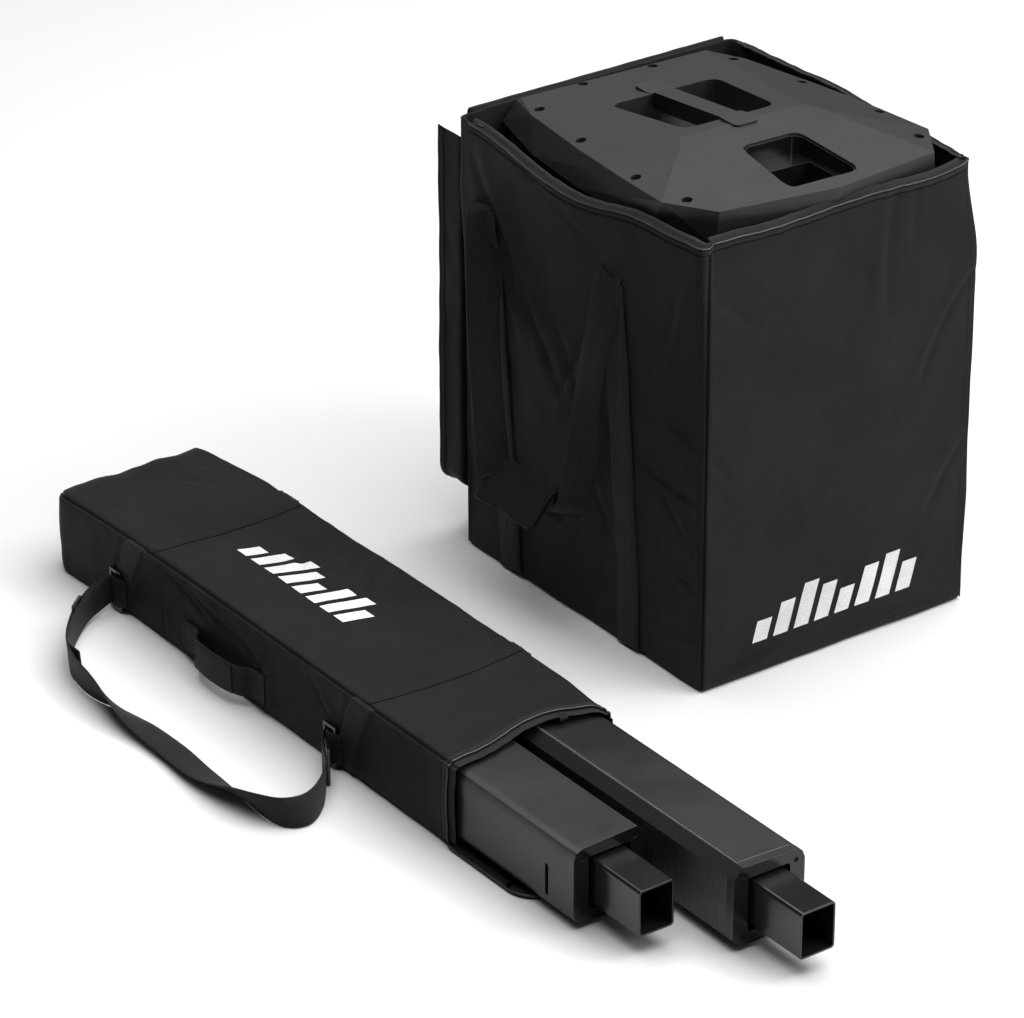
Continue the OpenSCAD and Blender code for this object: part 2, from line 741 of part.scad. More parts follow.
module speaker_shell() color(black_shell) as_speaker() column_shell(speaker_cap_y, cap_t);
module speaker_grille() color("#26272a") as_speaker() column_grille(speaker_cap_y, cap_t);
module speaker_end_cap() color(black_shell) as_speaker() column_end_cap(speaker_cap_y);
module speaker_spigot() color(black_gloss) as_speaker() column_spigot(speaker_cap_y);
module speaker_screws() color(steel) as_speaker() column_screws(speaker_cap_y);

module speaker_top_cap() color(black_shell) as_speaker()
    along_y(speaker_cap_y + col_len - cap_t, speaker_cap_y + col_len)
        polygon(column_outline(0));

module speaker_baffle() color("#1c1c1e") as_speaker() difference() {
    translate([grille_reach, speaker_cap_y + 32, -44])
        cube([baffle_t, col_len - 46, 88]);
    for (i = [0 : driver_count - 1])
        translate([0, driver_y(i), 0]) rotate([0, 90, 0]) cylinder(r = driver_bore_r, h = 60);
}

// One small driver: frame, cone and magnet on one axis, facing the grille
module column_driver(i) color("#3a3c40") as_speaker()
    translate([grille_reach, driver_y(i), 0]) rotate([0, 90, 0]) rotate_extrude($fn = 40)
        polygon([
            [0, 12], [10, 10], [28, 1], [31, -2.5], [40, -2.5], [40, -0.4],
            [33.4, -0.4], [30, 8], [22, 22], [22, 44], [0, 44]
        ]);

module speaker_driver_1() column_driver(0);
module speaker_driver_2() column_driver(1);
module speaker_driver_3() column_driver(2);
module speaker_driver_4() column_driver(3);

// ---------------------------------------------------------------- drawing

sub_bag_shell();
sub_bag_base_board();
sub_bag_rim_zip();
sub_bag_webbing();
sub_bag_lid();
sub_bag_lid_zip();
sub_bag_zip_slider_left();
sub_bag_zip_slider_right();
carry_handle_left();
carry_grip_left();
carry_handle_right();
carry_grip_right();
sub_cabinet();
sub_top_shell();
sub_handle_bar();
sub_column_socket();
sub_socket_contacts();
sub_top_screws();
sub_grille();
sub_woofer_frame();
sub_woofer_cone();
sub_woofer_magnet();
sub_port_tube();
sub_feet();
sub_amp_panel();
sub_amp_board();
sub_amp_transformer();
sub_amp_inlets();
sub_amp_screws();
sub_power_switch();
sub_level_knob();
sub_bass_knob();
sub_mode_button();
long_bag_shell();
long_bag_flap();
long_bag_rim_zip();
long_bag_bands();
long_bag_grab_handle();
long_bag_zip_slider();
shoulder_strap();
strap_rings();
strap_adjuster();
riser_shell();
riser_front_panel();
riser_end_cap();
riser_socket_cap();
riser_spigot();
riser_screws();
speaker_shell();
speaker_grille();
speaker_baffle();
speaker_end_cap();
speaker_top_cap();
speaker_spigot();
speaker_screws();
speaker_driver_1();
speaker_driver_2();
speaker_driver_3();
speaker_driver_4();
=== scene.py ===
import json
import math

import bmesh
import bpy
import numpy as np
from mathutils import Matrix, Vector


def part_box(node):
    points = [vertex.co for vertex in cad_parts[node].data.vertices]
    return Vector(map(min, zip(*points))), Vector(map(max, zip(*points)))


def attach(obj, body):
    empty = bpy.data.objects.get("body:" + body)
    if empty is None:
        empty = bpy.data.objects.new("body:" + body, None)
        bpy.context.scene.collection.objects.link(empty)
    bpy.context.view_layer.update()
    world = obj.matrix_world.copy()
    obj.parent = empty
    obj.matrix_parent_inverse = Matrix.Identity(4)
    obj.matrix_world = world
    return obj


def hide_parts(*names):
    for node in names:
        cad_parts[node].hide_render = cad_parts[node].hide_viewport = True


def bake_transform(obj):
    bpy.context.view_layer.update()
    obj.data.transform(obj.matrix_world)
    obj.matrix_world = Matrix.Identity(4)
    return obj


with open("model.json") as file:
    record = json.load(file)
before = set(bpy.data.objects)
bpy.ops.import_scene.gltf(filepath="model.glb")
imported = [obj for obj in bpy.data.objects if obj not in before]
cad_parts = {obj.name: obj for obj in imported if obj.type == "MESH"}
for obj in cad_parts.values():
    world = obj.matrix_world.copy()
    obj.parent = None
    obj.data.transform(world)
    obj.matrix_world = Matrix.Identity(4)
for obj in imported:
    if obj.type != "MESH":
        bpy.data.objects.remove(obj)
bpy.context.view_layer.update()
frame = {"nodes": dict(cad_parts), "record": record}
MM = 0.001

# The view, solved from the straight edges of both bags
CAMERA_PLACE = (-3.269, -4.093, 2.803)
CAMERA_DIRECTION = (0.5219, 0.7175, -0.4613)
CAMERA_LENS = 176.7
CAMERA_SENSOR = 36
FAR_CLIP = 100
# The sky's strength as light on things, and as the camera sees it
SKY_LIGHT, SKY_SEEN = 0.07, 1.0

# ------------------------------------------------------------------ camera, light, floor

scene = bpy.context.scene
scene.view_settings.view_transform = "Standard"
scene.view_settings.look = "None"

cam = bpy.data.objects.new("camera", bpy.data.cameras.new("camera"))
scene.collection.objects.link(cam)
cam.location = CAMERA_PLACE
cam.rotation_mode = "QUATERNION"
cam.rotation_quaternion = Vector(CAMERA_DIRECTION).to_track_quat("-Z", "Y")
cam.data.lens = CAMERA_LENS
cam.data.sensor_width = CAMERA_SENSOR
cam.data.clip_end = FAR_CLIP
scene.camera = cam

world = bpy.data.worlds.new("studio")
scene.world = world
world.use_nodes = True
sky = world.node_tree
sky.nodes["Background"].inputs["Color"].default_value = (1, 1, 1, 1)
seen = sky.nodes.new("ShaderNodeLightPath")
level = sky.nodes.new("ShaderNodeMapRange")
level.inputs["To Min"].default_value = SKY_LIGHT
level.inputs["To Max"].default_value = SKY_SEEN
sky.links.new(seen.outputs["Is Camera Ray"], level.inputs["Value"])
sky.links.new(level.outputs[0], sky.nodes["Background"].inputs["Strength"])


def area_light(name, place, target, size, energy):
    lamp = bpy.data.objects.new(name, bpy.data.lights.new(name, "AREA"))
    scene.collection.objects.link(lamp)
    lamp.location = place
    lamp.rotation_mode = "QUATERNION"
    lamp.rotation_quaternion = (Vector(target) - Vector(place)).to_track_quat("-Z", "Y")
    lamp.data.shape = "RECTANGLE"
    lamp.data.size, lamp.data.size_y = size
    lamp.data.energy = energy


area_light("overhead", (0.5, -0.3, 3.8), (-0.1, 0, 0), (5.5, 5.5), 480)
area_light("front_key", (1.7, -4.6, 2.3), (-0.1, -0.1, 0.2), (3, 2.6), 130)
area_light("high_right", (2.1, -2.2, 3.3), (0, -0.1, 0.5), (1.1, 1.1), 60)
area_light("back_rim", (2.6, 4.4, 2.6), (0, 0, 0.4), (3.2, 1.6), 12)

# ------------------------------------------------------------------ materials


def node(tree, kind, props=None, **inputs):
    """A shader node. An input named i0, i1 and so on is found by its number."""
    n = tree.nodes.new(kind)
    for key, value in (props or {}).items():
        setattr(n, key, value)
    for key, value in inputs.items():
        by_number = key[0] == "i" and key[1:].isdigit()
        socket = n.inputs[int(key[1:])] if by_number else n.inputs[key.replace("_", " ")]
        if isinstance(value, bpy.types.NodeSocket):
            tree.links.new(value, socket)
        else:
            socket.default_value = value
    return n


def maths(tree, operation, a, b=0.0, c=0.0):
    return node(tree, "ShaderNodeMath", {"operation": operation}, i0=a, i1=b, i2=c).outputs[0]


def start(name, rough, specular=0.5, sheen=0.0, coat=0.0):
    """A new material with its tree and its shader."""
    m = bpy.data.materials.new(name)
    m.use_nodes = True
    t = m.node_tree
    s = t.nodes["Principled BSDF"]
    s.inputs["Roughness"].default_value = rough
    s.inputs["Specular IOR Level"].default_value = specular
    s.inputs["Sheen Weight"].default_value = sheen
    s.inputs["Sheen Roughness"].default_value = 0.45
    s.inputs["Coat Weight"].default_value = coat
    return m, t, s


def place(tree, uv):
    """Coordinates in metres: the cloth's own flat ones, or the object's."""
    if uv:
        return node(tree, "ShaderNodeUVMap").outputs[0]
    return node(tree, "ShaderNodeTexCoord").outputs["Object"]


def noise(tree, where, scale, detail=3.0, rough=0.55):
    n = node(tree, "ShaderNodeTexNoise", None, Vector=where, Scale=scale, Detail=detail, Roughness=rough)
    return n.outputs[0]


def ramp(tree, value, low, high, to_low, to_high):
    n = node(tree, "ShaderNodeMapRange", None, Value=value, i1=low, i2=high, i3=to_low, i4=to_high)
    return n.outputs[0]


def cloudy(tree, where, scale, low, high):
    """A factor that drifts between low and high over the surface."""
    return ramp(tree, noise(tree, where, scale), 0.3, 0.7, low, high)


def colour(tree, shader, base, factor):
    """Base colour times a factor that varies over the surface."""
    mix = node(tree, "ShaderNodeVectorMath", {"operation": "SCALE"}, i0=base, Scale=factor)
    tree.links.new(mix.outputs[0], shader.inputs["Base Color"])


def bump(tree, shader, height, distance):
    b = node(tree, "ShaderNodeBump", None, Height=height, Distance=distance, Strength=1.0)
    tree.links.new(b.outputs[0], shader.inputs["Normal"])


def waves(tree, axis, period):
    """A sine along an axis, with its period in metres."""
    return maths(tree, "SINE", maths(tree, "MULTIPLY", axis, 2 * math.pi / period))


def cloth(name, base, period=0.0019, rough=0.62, sheen=0.12, depth=0.00022):
    """Plain-woven nylon: threads over and under, uneven threads, rubbed patches."""
    m, t, s = start(name, rough, 0.12, sheen)
    at = place(t, True)
    axes = node(t, "ShaderNodeSeparateXYZ", None, Vector=at)
    a = waves(t, axes.outputs[0], period)
    b = waves(t, axes.outputs[1], period * 0.92)
    weave = maths(t, "MULTIPLY", a, b)
    slub = noise(t, at, 420, 2)
    rub = noise(t, at, 9, 4, 0.6)
    height = maths(t, "MULTIPLY_ADD", slub, 0.9, weave)
    bump(t, s, height, depth)
    tone = maths(t, "MULTIPLY", ramp(t, rub, 0.3, 0.75, 0.82, 1.3),
                 maths(t, "MULTIPLY_ADD", weave, 0.14, ramp(t, slub, 0.3, 0.7, 0.86, 1.14)))
    colour(t, s, base, tone)
    t.links.new(ramp(t, rub, 0.3, 0.75, rough + 0.05, rough - 0.07), s.inputs["Roughness"])
    return m


def webbing(name, base, period=0.0026, rough=0.55):
    """Ribbed strap: cords along its length, fine picks across."""
    m, t, s = start(name, rough, 0.15, 0.03)
    at = place(t, True)
    axes = node(t, "ShaderNodeSeparateXYZ", None, Vector=at)
    along = waves(t, axes.outputs[0], 0.0017)
    across = waves(t, axes.outputs[1], period)
    height = maths(t, "MULTIPLY_ADD", across, 0.8, maths(t, "MULTIPLY", along, 0.5))
    bump(t, s, height, 0.0003)
    # Painted shade: the colour is darker in the grooves between the cords than on their crowns; the
    # cloudiness is real tone.
    tone = maths(t, "MULTIPLY", ramp(t, across, -1, 1, 0.7, 1.2), cloudy(t, at, 30, 0.85, 1.15))
    colour(t, s, base, tone)
    return m


def moulded(name, base, rough, grain=1500.0, depth=0.00006, specular=0.45, coat=0.0, spread=0.07):
    """Moulded plastic or paint: a fine grain, faint cloudiness and rubbed patches."""
    m, t, s = start(name, rough, specular, 0.0, coat)
    at = place(t, False)
    fine = noise(t, at, grain, 2)
    cloud = noise(t, at, 6, 4, 0.6)
    bump(t, s, fine, depth)
    tone = maths(t, "MULTIPLY", ramp(t, cloud, 0.3, 0.7, 0.9, 1.12), ramp(t, fine, 0.3, 0.7, 0.92, 1.08))
    colour(t, s, base, tone)
    t.links.new(ramp(t, cloud, 0.3, 0.7, rough - spread, rough + spread), s.inputs["Roughness"])
    return m


def metal(name, base, rough, stretch=(40, 40, 900)):
    """Bare metal with fine drawn lines."""
    m, t, s = start(name, rough)
    s.inputs["Metallic"].default_value = 1.0
    at = node(t, "ShaderNodeVectorMath", {"operation": "MULTIPLY"}, i0=place(t, False), i1=stretch)
    lines = noise(t, at.outputs[0], 4, 3)
    bump(t, s, lines, 0.00003)
    colour(t, s, base, ramp(t, lines, 0.3, 0.7, 0.8, 1.15))
    t.links.new(ramp(t, lines, 0.3, 0.7, rough - 0.06, rough + 0.08), s.inputs["Roughness"])
    return m


def ribbed_grille(name, base, rough, pitch):
    """Painted sheet with fine ribs across the column."""
    m, t, s = start(name, rough, 0.5)
    at = place(t, False)
    axes = node(t, "ShaderNodeSeparateXYZ", None, Vector=at)
    rib = waves(t, axes.outputs[1], pitch)
    bump(t, s, rib, 0.0005)
    # Painted shade: the colour follows the ribs, darker in the troughs than on the crests; the cloudiness is
    # real tone.
    tone = maths(t, "MULTIPLY", ramp(t, rib, -0.6, 0.6, 0.45, 1.15), cloudy(t, at, 8, 0.9, 1.1))
    colour(t, s, base, tone)
    return m


def perforated(name, base, rough, pitch):
    """Painted sheet with round holes in rows."""
    m, t, s = start(name, rough, 0.5)
    at = place(t, False)
    axes = node(t, "ShaderNodeSeparateXYZ", None, Vector=at)
    holes = maths(t, "MULTIPLY", waves(t, axes.outputs[0], pitch), waves(t, axes.outputs[2], pitch))
    bump(t, s, holes, 0.0006)
    # Painted shade: the colour is darkest in the holes.
    colour(t, s, base, ramp(t, holes, -0.5, 0.1, 0.15, 1.1))
    return m


def board(name, base, rough):
    """Pressed board with visible chips."""
    m, t, s = start(name, rough, 0.3)
    at = place(t, False)
    flakes = node(t, "ShaderNodeTexVoronoi", None, Vector=at, Scale=260.0)
    chips = flakes.outputs["Distance"]
    bump(t, s, chips, 0.0003)
    tone = maths(t, "MULTIPLY", ramp(t, chips, 0.0, 0.7, 1.2, 0.7), cloudy(t, at, 20, 0.85, 1.15))
    colour(t, s, base, tone)
    return m


def windings(name, base):
    """Rings of varnished wire."""
    m, t, s = start(name, 0.35, 0.5, 0.0, 0.4)
    s.inputs["Metallic"].default_value = 0.6
    at = place(t, False)
    rings = {"wave_type": "RINGS", "rings_direction": "Y"}
    wires = node(t, "ShaderNodeTexWave", rings, Vector=at, Scale=320.0, Distortion=0.6)
    bump(t, s, wires.outputs[1], 0.0003)
    # Painted shade: the colour is darker in the gaps between the wires than on their tops.
    colour(t, s, base, ramp(t, wires.outputs[1], 0, 1, 0.6, 1.2))
    return m


def circuit(name):
    """Green board with paler tracks."""
    m, t, s = start(name, 0.4, 0.5, 0.0, 0.5)
    at = place(t, False)
    greens = {"Color1": (0.02, 0.09, 0.04, 1), "Color2": (0.03, 0.14, 0.06, 1),
              "Mortar": (0.06, 0.2, 0.08, 1)}
    cells = node(t, "ShaderNodeTexBrick", None, Vector=at, **greens)
    cells.inputs["Scale"].default_value = 60
    t.links.new(cells.outputs[0], s.inputs["Base Color"])
    bump(t, s, cells.outputs[1], 0.0002)
    return m


nylon = cloth("nylon_oxford", (0.0066, 0.0065, 0.0067), sheen=0.015)
seam_mat = cloth("seam_shadow", (0.0012, 0.0012, 0.0012), sheen=0.0)
nylon_inside = cloth("nylon_inside", (0.006, 0.006, 0.0062), rough=0.75, sheen=0.01)
nylon_trim = cloth("nylon_trim", (0.011, 0.011, 0.0112), 0.0014, 0.55, 0.04)
strap_mat = webbing("strap_webbing", (0.0082, 0.0082, 0.0084))
tape_mat = webbing("zip_tape", (0.0075, 0.0075, 0.0077), 0.0012, 0.6)
coil_mat = moulded("zip_coil", (0.009, 0.009, 0.0095), 0.4, 900, 0.0002)
thread_mat = moulded("thread", (0.016, 0.016, 0.0165), 0.5, 2200, 0.0001, 0.2)
print_mat = cloth("white_print", (0.56, 0.56, 0.555), 0.0019, 0.55, 0.0, 0.00012)
abs_mat = moulded("moulded_abs", (0.0105, 0.0105, 0.0107), 0.38, 1700, 0.00009, 0.35)
gloss_mat = moulded("gloss_black_plastic", (0.004, 0.004, 0.0042), 0.2, 500, 0.00001, 0.4, 0.2, 0.03)
spigot_mat = moulded("spigot_enamel", (0.0055, 0.0055, 0.0057), 0.25, 900, 0.00003, 0.45, 0.1, 0.04)
column_mat = moulded("column_satin", (0.0105, 0.0105, 0.0107), 0.38, 2100, 0.00006, 0.4)
cap_mat = moulded("cap_satin", (0.003, 0.003, 0.0032), 0.24, 1700, 0.00003, 0.4)
steel_mat = metal("blackened_steel", (0.05, 0.05, 0.052), 0.36)
brass_mat = metal("contact_brass", (0.72, 0.5, 0.2), 0.3)
magnet_mat = moulded("ferrite", (0.04, 0.04, 0.042), 0.6, 400, 0.0003)
paper_mat = moulded("coated_paper", (0.02, 0.02, 0.02), 0.6, 700, 0.0003)
rubber_mat = moulded("rubber", (0.014, 0.014, 0.014), 0.75, 600, 0.0002, 0.3)
grille_mat = perforated("sheet_grille", (0.02, 0.02, 0.021), 0.42, 0.006)
rib_mat = ribbed_grille("ribbed_grille", (0.014, 0.014, 0.0143), 0.38, 0.0029)
panel_mat = moulded("column_front", (0.0115, 0.0115, 0.0118), 0.36, 1500, 0.00005, 0.4)
paint_mat = moulded("cabinet_paint", (0.02, 0.02, 0.02), 0.6, 350, 0.0003)
board_mat = board("particle_board", (0.24, 0.17, 0.1), 0.8)
copper_mat = windings("copper_windings", (0.5, 0.24, 0.1))
circuit_mat = circuit("circuit_board")

# ------------------------------------------------------------------ mesh helpers


def make(name, verts, faces, material, body=None, uvs=None):
    """A mesh object; uvs is one (u, v) per face corner, in metres."""
    mesh = bpy.data.meshes.new(name)
    mesh.from_pydata([tuple(v) for v in verts], [], [tuple(int(i) for i in f) for f in faces])
    mesh.polygons.foreach_set("use_smooth", [True] * len(mesh.polygons))
    if uvs is not None:
        layer = mesh.uv_layers.new(name="flat")
        layer.data.foreach_set("uv", np.asarray(uvs, np.float32).ravel())
    mesh.update()
    obj = bpy.data.objects.new(name, mesh)
    scene.collection.objects.link(obj)
    obj.data.materials.append(material)
    if body:
        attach(obj, body)
    return obj


def run_length(points):
    """The length along a line at each of its points."""
    steps = np.linalg.norm(np.diff(points, axis=0), axis=1)
    return np.concatenate([[0], np.cumsum(steps)])


def grid(name, points, material, body=None, loop_u=False, loop_v=False, u=None, v=None, caps=False):
    """A sheet through points[i][j] in mm; u and v are its flat lengths in mm."""
    p = np.asarray(points, float)
    nu, nv = p.shape[:2]
    if u is None:
        u = run_length(p[:, nv // 2])
    if v is None:
        v = run_length(p[nu // 2])
    u, v = np.asarray(u, float), np.asarray(v, float)
    if loop_u and len(u) == nu:
        u = np.append(u, u[-1] + (u[-1] - u[-2]))
    if loop_v and len(v) == nv:
        v = np.append(v, v[-1] + (v[-1] - v[-2]))
    faces, uvs = [], []
    for i in range(nu if loop_u else nu - 1):
        for j in range(nv if loop_v else nv - 1):
            i2, j2 = (i + 1) % nu, (j + 1) % nv
            quad = [(i, j, i, j), (i2, j, i + 1, j), (i2, j2, i + 1, j + 1), (i, j2, i, j + 1)]
            faces.append([a * nv + b for a, b, _, _ in quad])
            uvs += [(u[a] * MM, v[b] * MM) for _, _, a, b in quad]
    if caps:
        for i in (0, nu - 1):
            ring = [i * nv + j for j in range(nv)]
            if i == 0:
                ring.reverse()
            faces.append(ring)
            uvs += [(p[i, j % nv, 1] * MM, p[i, j % nv, 2] * MM) for j in [k - i * nv for k in ring]]
    return make(name, p.reshape(-1, 3) * MM, faces, material, body, uvs=uvs)


def smoothed(points, count):
    """A smooth line of count points through the given ones, evenly spaced."""
    p = np.asarray(points, float)
    q = np.vstack([2 * p[0] - p[1], p, 2 * p[-1] - p[-2]])
    out = []
    for k in range(1, len(q) - 2):
        for t in np.linspace(0, 1, 24, endpoint=False):
            a, b, c, d = q[k - 1], q[k], q[k + 1], q[k + 2]
            square, cube = 2 * a - 5 * b + 4 * c - d, 3 * b - a - 3 * c + d
            out.append(0.5 * (2 * b + (c - a) * t + square * t * t + cube * t ** 3))
    out.append(p[-1])
    out = np.array(out)
    s = run_length(out)
    at = np.linspace(0, s[-1], count)
    return np.stack([np.interp(at, s, out[:, k]) for k in range(out.shape[1])], 1)


def ribbon(name, line, across, width, thick, material, body=None, count=60):
    """A flat strap along line, with its width along across; both are lists of 3-D points."""
    both = smoothed(np.hstack([np.asarray(line, float), np.asarray(across, float)]), count)
    c, w = both[:, :3], both[:, 3:6]
    t = np.gradient(c, axis=0)
    t /= np.linalg.norm(t, axis=1, keepdims=True)
    w -= t * (w * t).sum(1, keepdims=True)
    w /= np.linalg.norm(w, axis=1, keepdims=True)
    m = np.cross(t, w)
    a, b = width / 2, thick / 2
    e = min(b, 0.8)
    ring = [(-a, -b + e), (-a + e, -b), (-a * 0.33, -b), (a * 0.33, -b), (a - e, -b), (a, -b + e),
            (a, b - e), (a - e, b), (a * 0.33, b), (-a * 0.33, b), (-a + e, b), (-a, b - e)]
    p = np.array([[c[i] + w[i] * x + m[i] * y for x, y in ring] for i in range(count)])
    lengths = [x for x, y in ring]
    return grid(name, p, material, body, loop_v=True, v=np.array(lengths + [lengths[0]]) + a, caps=True)


def tube(name, line, radius, material, body=None, sides=8):
    """A round cord along a line, with flat ends."""
    p = np.asarray(line, float)
    t = np.gradient(p, axis=0)
    t /= np.linalg.norm(t, axis=1, keepdims=True)
    up = np.array([0, 0, 1.0])
    side = np.cross(t, up)
    bad = np.linalg.norm(side, axis=1) < 0.2
    side[bad] = np.cross(t[bad], np.array([0, 1.0, 0]))
    side /= np.linalg.norm(side, axis=1, keepdims=True)
    other = np.cross(side, t)
    a = np.linspace(0, 2 * math.pi, sides, endpoint=False)
    q = np.cos(a)[None, :, None] * side[:, None] + np.sin(a)[None, :, None] * other[:, None]
    return grid(name, p[:, None] + radius * q, material, body, loop_v=True, caps=True)


def apply_modifiers(obj):
    bpy.context.view_layer.update()
    depsgraph = bpy.context.evaluated_depsgraph_get()
    mesh = bpy.data.meshes.new_from_object(obj.evaluated_get(depsgraph))
    obj.modifiers.clear()
    obj.data = mesh


def close_up(obj, in_hole=None):
    """Fills the hole whose corners all pass in_hole, and turns every face outward."""
    b = bmesh.new()
    b.from_mesh(obj.data)
    if in_hole:
        edges = [e for e in b.edges if e.is_boundary and all(in_hole(v.co) for v in e.verts)]
        bmesh.ops.holes_fill(b, edges=edges, sides=0)
    bmesh.ops.recalc_face_normals(b, faces=b.faces)
    b.to_mesh(obj.data)
    b.free()


def softened(name, width, material, segments=2, angle=28, dissolve=0.6, face=None):
    """A copy of a CAD node with rounded edges, which stands in for it."""
    source = frame["nodes"][name]
    b = bmesh.new()
    b.from_mesh(source.data)
    bmesh.ops.remove_doubles(b, verts=b.verts, dist=2e-6)
    bmesh.ops.dissolve_limit(b, angle_limit=math.radians(dissolve), verts=b.verts, edges=b.edges)
    edges = [e for e in b.edges if len(e.link_faces) == 2 and e.calc_face_angle(0) > math.radians(angle)]
    bmesh.ops.bevel(b, geom=edges, offset=width * MM, segments=segments, profile=0.6, affect="EDGES",
                    clamp_overlap=True)
    mesh = bpy.data.meshes.new(name + "_soft")
    b.to_mesh(mesh)
    b.free()
    mesh.polygons.foreach_set("use_smooth", [True] * len(mesh.polygons))
    mesh.set_sharp_from_angle(angle=math.radians(30))
    mesh.materials.append(material)
    if face is not None:
        mesh.materials.append(face)
        mesh.polygons.foreach_set("material_index", [int(p.normal.y < -0.9) for p in mesh.polygons])
    obj = bpy.data.objects.new(name + "_soft", mesh)
    scene.collection.objects.link(obj)
    even = obj.modifiers.new("even_shading", "WEIGHTED_NORMAL")
    even.keep_sharp = True
    even.weight = 100
    apply_modifiers(obj)
    body = next(k for k, v in frame["record"]["behaviour"]["bodies"].items() if name in v)
    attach(obj, body)
    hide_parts(name)
    return obj


def paint(material, *names):
    for name in names:
        mesh = frame["nodes"][name].data
        mesh.materials.clear()
        mesh.materials.append(material)


# ------------------------------------------------------------------ folds in cloth


def ripple(x, y, seed):
    """Smooth noise from about -0.7 to 0.7 over the plane."""
    x, y = np.asarray(x, float), np.asarray(y, float)
    xi, yi = np.floor(x).astype(np.int64), np.floor(y).astype(np.int64)
    fx, fy = x - xi, y - yi

    def slope(ix, iy, dx, dy):
        h = (ix * 374761393 + iy * 668265263 + seed * 974711) & 0x7FFFFFFF
        h = ((h ^ (h >> 13)) * 1274126177) & 0x7FFFFFFF
        a = (h % 4096) / 4096 * 2 * np.pi
        return np.cos(a) * dx + np.sin(a) * dy

    u, v = fx ** 3 * (fx * (fx * 6 - 15) + 10), fy ** 3 * (fy * (fy * 6 - 15) + 10)
    low = slope(xi, yi, fx, fy) * (1 - u) + slope(xi + 1, yi, fx - 1, fy) * u
    high = slope(xi, yi + 1, fx, fy - 1) * (1 - u) + slope(xi + 1, yi + 1, fx - 1, fy - 1) * u
    return low * (1 - v) + high * v


def crease(x, y, a, b, width, depth, bend=0.0):
    """A fold line from a to b: a fine valley beside a soft ridge. Depth is in mm."""
    x, y = np.asarray(x, float), np.asarray(y, float)
    ax, ay = a
    dx, dy = b[0] - ax, b[1] - ay
    size = math.hypot(dx, dy)
    t = ((x - ax) * dx + (y - ay) * dy) / size ** 2
    d = ((x - ax) * dy - (y - ay) * dx) / size - bend * np.sin(np.clip(t, 0, 1) * math.pi)
    fade = np.clip(t, 0, 1) * np.clip(1 - t, 0, 1) * 4
    fade = np.where((t > 0) & (t < 1), fade ** 0.6, 0)
    ridge = 0.7 * np.exp(-((d - 1.1 * width) / width) ** 2)
    return depth * fade * (ridge - np.exp(-((d / (0.6 * width)) ** 2)))


def creases(x, y, table):
    """The sum of a table of fold lines: from, to, width, depth and, where it curves, bend."""
    return sum(crease(x, y, *row) for row in table)


def hump(x, middle, half):
    """A smooth bump that is 1 at its middle."""
    return np.exp(-((x - middle) / half) ** 2)


def step(x, low, high):
    """A smooth rise from 0 at low to 1 at high."""
    t = np.clip((x - low) / (high - low), 0, 1)
    return t * t * (3 - 2 * t)


# ------------------------------------------------------------------ rigid pieces

# In mm: how far the handle bar's top is lifted, how far below the top nothing moves, the
# height over which the lift grows from there, and the end length that the top is read from
BAR_LIFT = 2.6
BAR_DEPTH = 12
BAR_FADE = 8
BAR_END = 20


def raise_bar(bar):
    """Lifts the bar's top with its pads, and leaves the underside where it is."""
    co = np.array([v.co for v in bar.data.vertices]) / MM
    front_top = co[co[:, 1] < co[:, 1].min() + BAR_END][:, 2].max()
    back_top = co[co[:, 1] > co[:, 1].max() - BAR_END][:, 2].max()
    along = (co[:, 1] - co[:, 1].min() - BAR_END / 2) / (np.ptp(co[:, 1]) - BAR_END)
    depth = co[:, 2] - (front_top + (back_top - front_top) * along)
    for v, d in zip(bar.data.vertices, depth):
        v.co.z += BAR_LIFT * MM * min(1, max(0, (d + BAR_DEPTH) / BAR_FADE))


# Node, edge radius in mm, material, segments and least edge angle in degrees, and where
# given the angle under which faces merge and a material for the faces that look to -Y
softened("sub_top_shell", 1.0, abs_mat, 2, 5, 0.2)
raise_bar(softened("sub_handle_bar", 1.8, abs_mat, 3, 25))
for row in (
    ("sub_column_socket", 0.5, gloss_mat, 2, 40),
    ("sub_top_screws", 0.3, steel_mat, 1, 40),
    ("riser_shell", 1.6, column_mat, 3, 25),
    ("speaker_shell", 1.6, column_mat, 3, 25),
    ("riser_end_cap", 1.2, column_mat, 3, 25, 0.6, cap_mat),
    ("speaker_end_cap", 1.2, column_mat, 3, 25, 0.6, cap_mat),
    ("riser_socket_cap", 1.2, cap_mat, 2, 30),
    ("speaker_top_cap", 1.2, cap_mat, 2, 30),
    ("riser_front_panel", 0.8, panel_mat, 2, 25),
    ("speaker_grille", 0.6, rib_mat, 2, 25),
    ("riser_spigot", 0.8, spigot_mat, 2, 30),
    ("speaker_spigot", 0.8, spigot_mat, 2, 30),
    ("riser_screws", 0.25, steel_mat, 1, 40),
    ("speaker_screws", 0.25, steel_mat, 1, 40),
    ("strap_rings", 1.1, gloss_mat, 2, 40),
    ("strap_adjuster", 1.1, gloss_mat, 2, 40),
    ("sub_level_knob", 0.6, abs_mat, 2, 30),
    ("sub_bass_knob", 0.6, abs_mat, 2, 30),
    ("sub_mode_button", 0.5, steel_mat, 2, 30),
    ("sub_power_switch", 0.8, gloss_mat, 2, 30),
    ("sub_amp_panel", 0.4, panel_mat, 2, 40),
    ("sub_amp_inlets", 0.5, gloss_mat, 2, 40),
    ("sub_bag_zip_slider_left", 0.5, steel_mat, 2, 40),
    ("sub_bag_zip_slider_right", 0.5, steel_mat, 2, 40),
    ("long_bag_zip_slider", 0.5, steel_mat, 2, 40),
    ("sub_grille", 0.5, grille_mat, 2, 40),
    ("sub_cabinet", 2.0, paint_mat, 2, 40)):
    softened(*row)

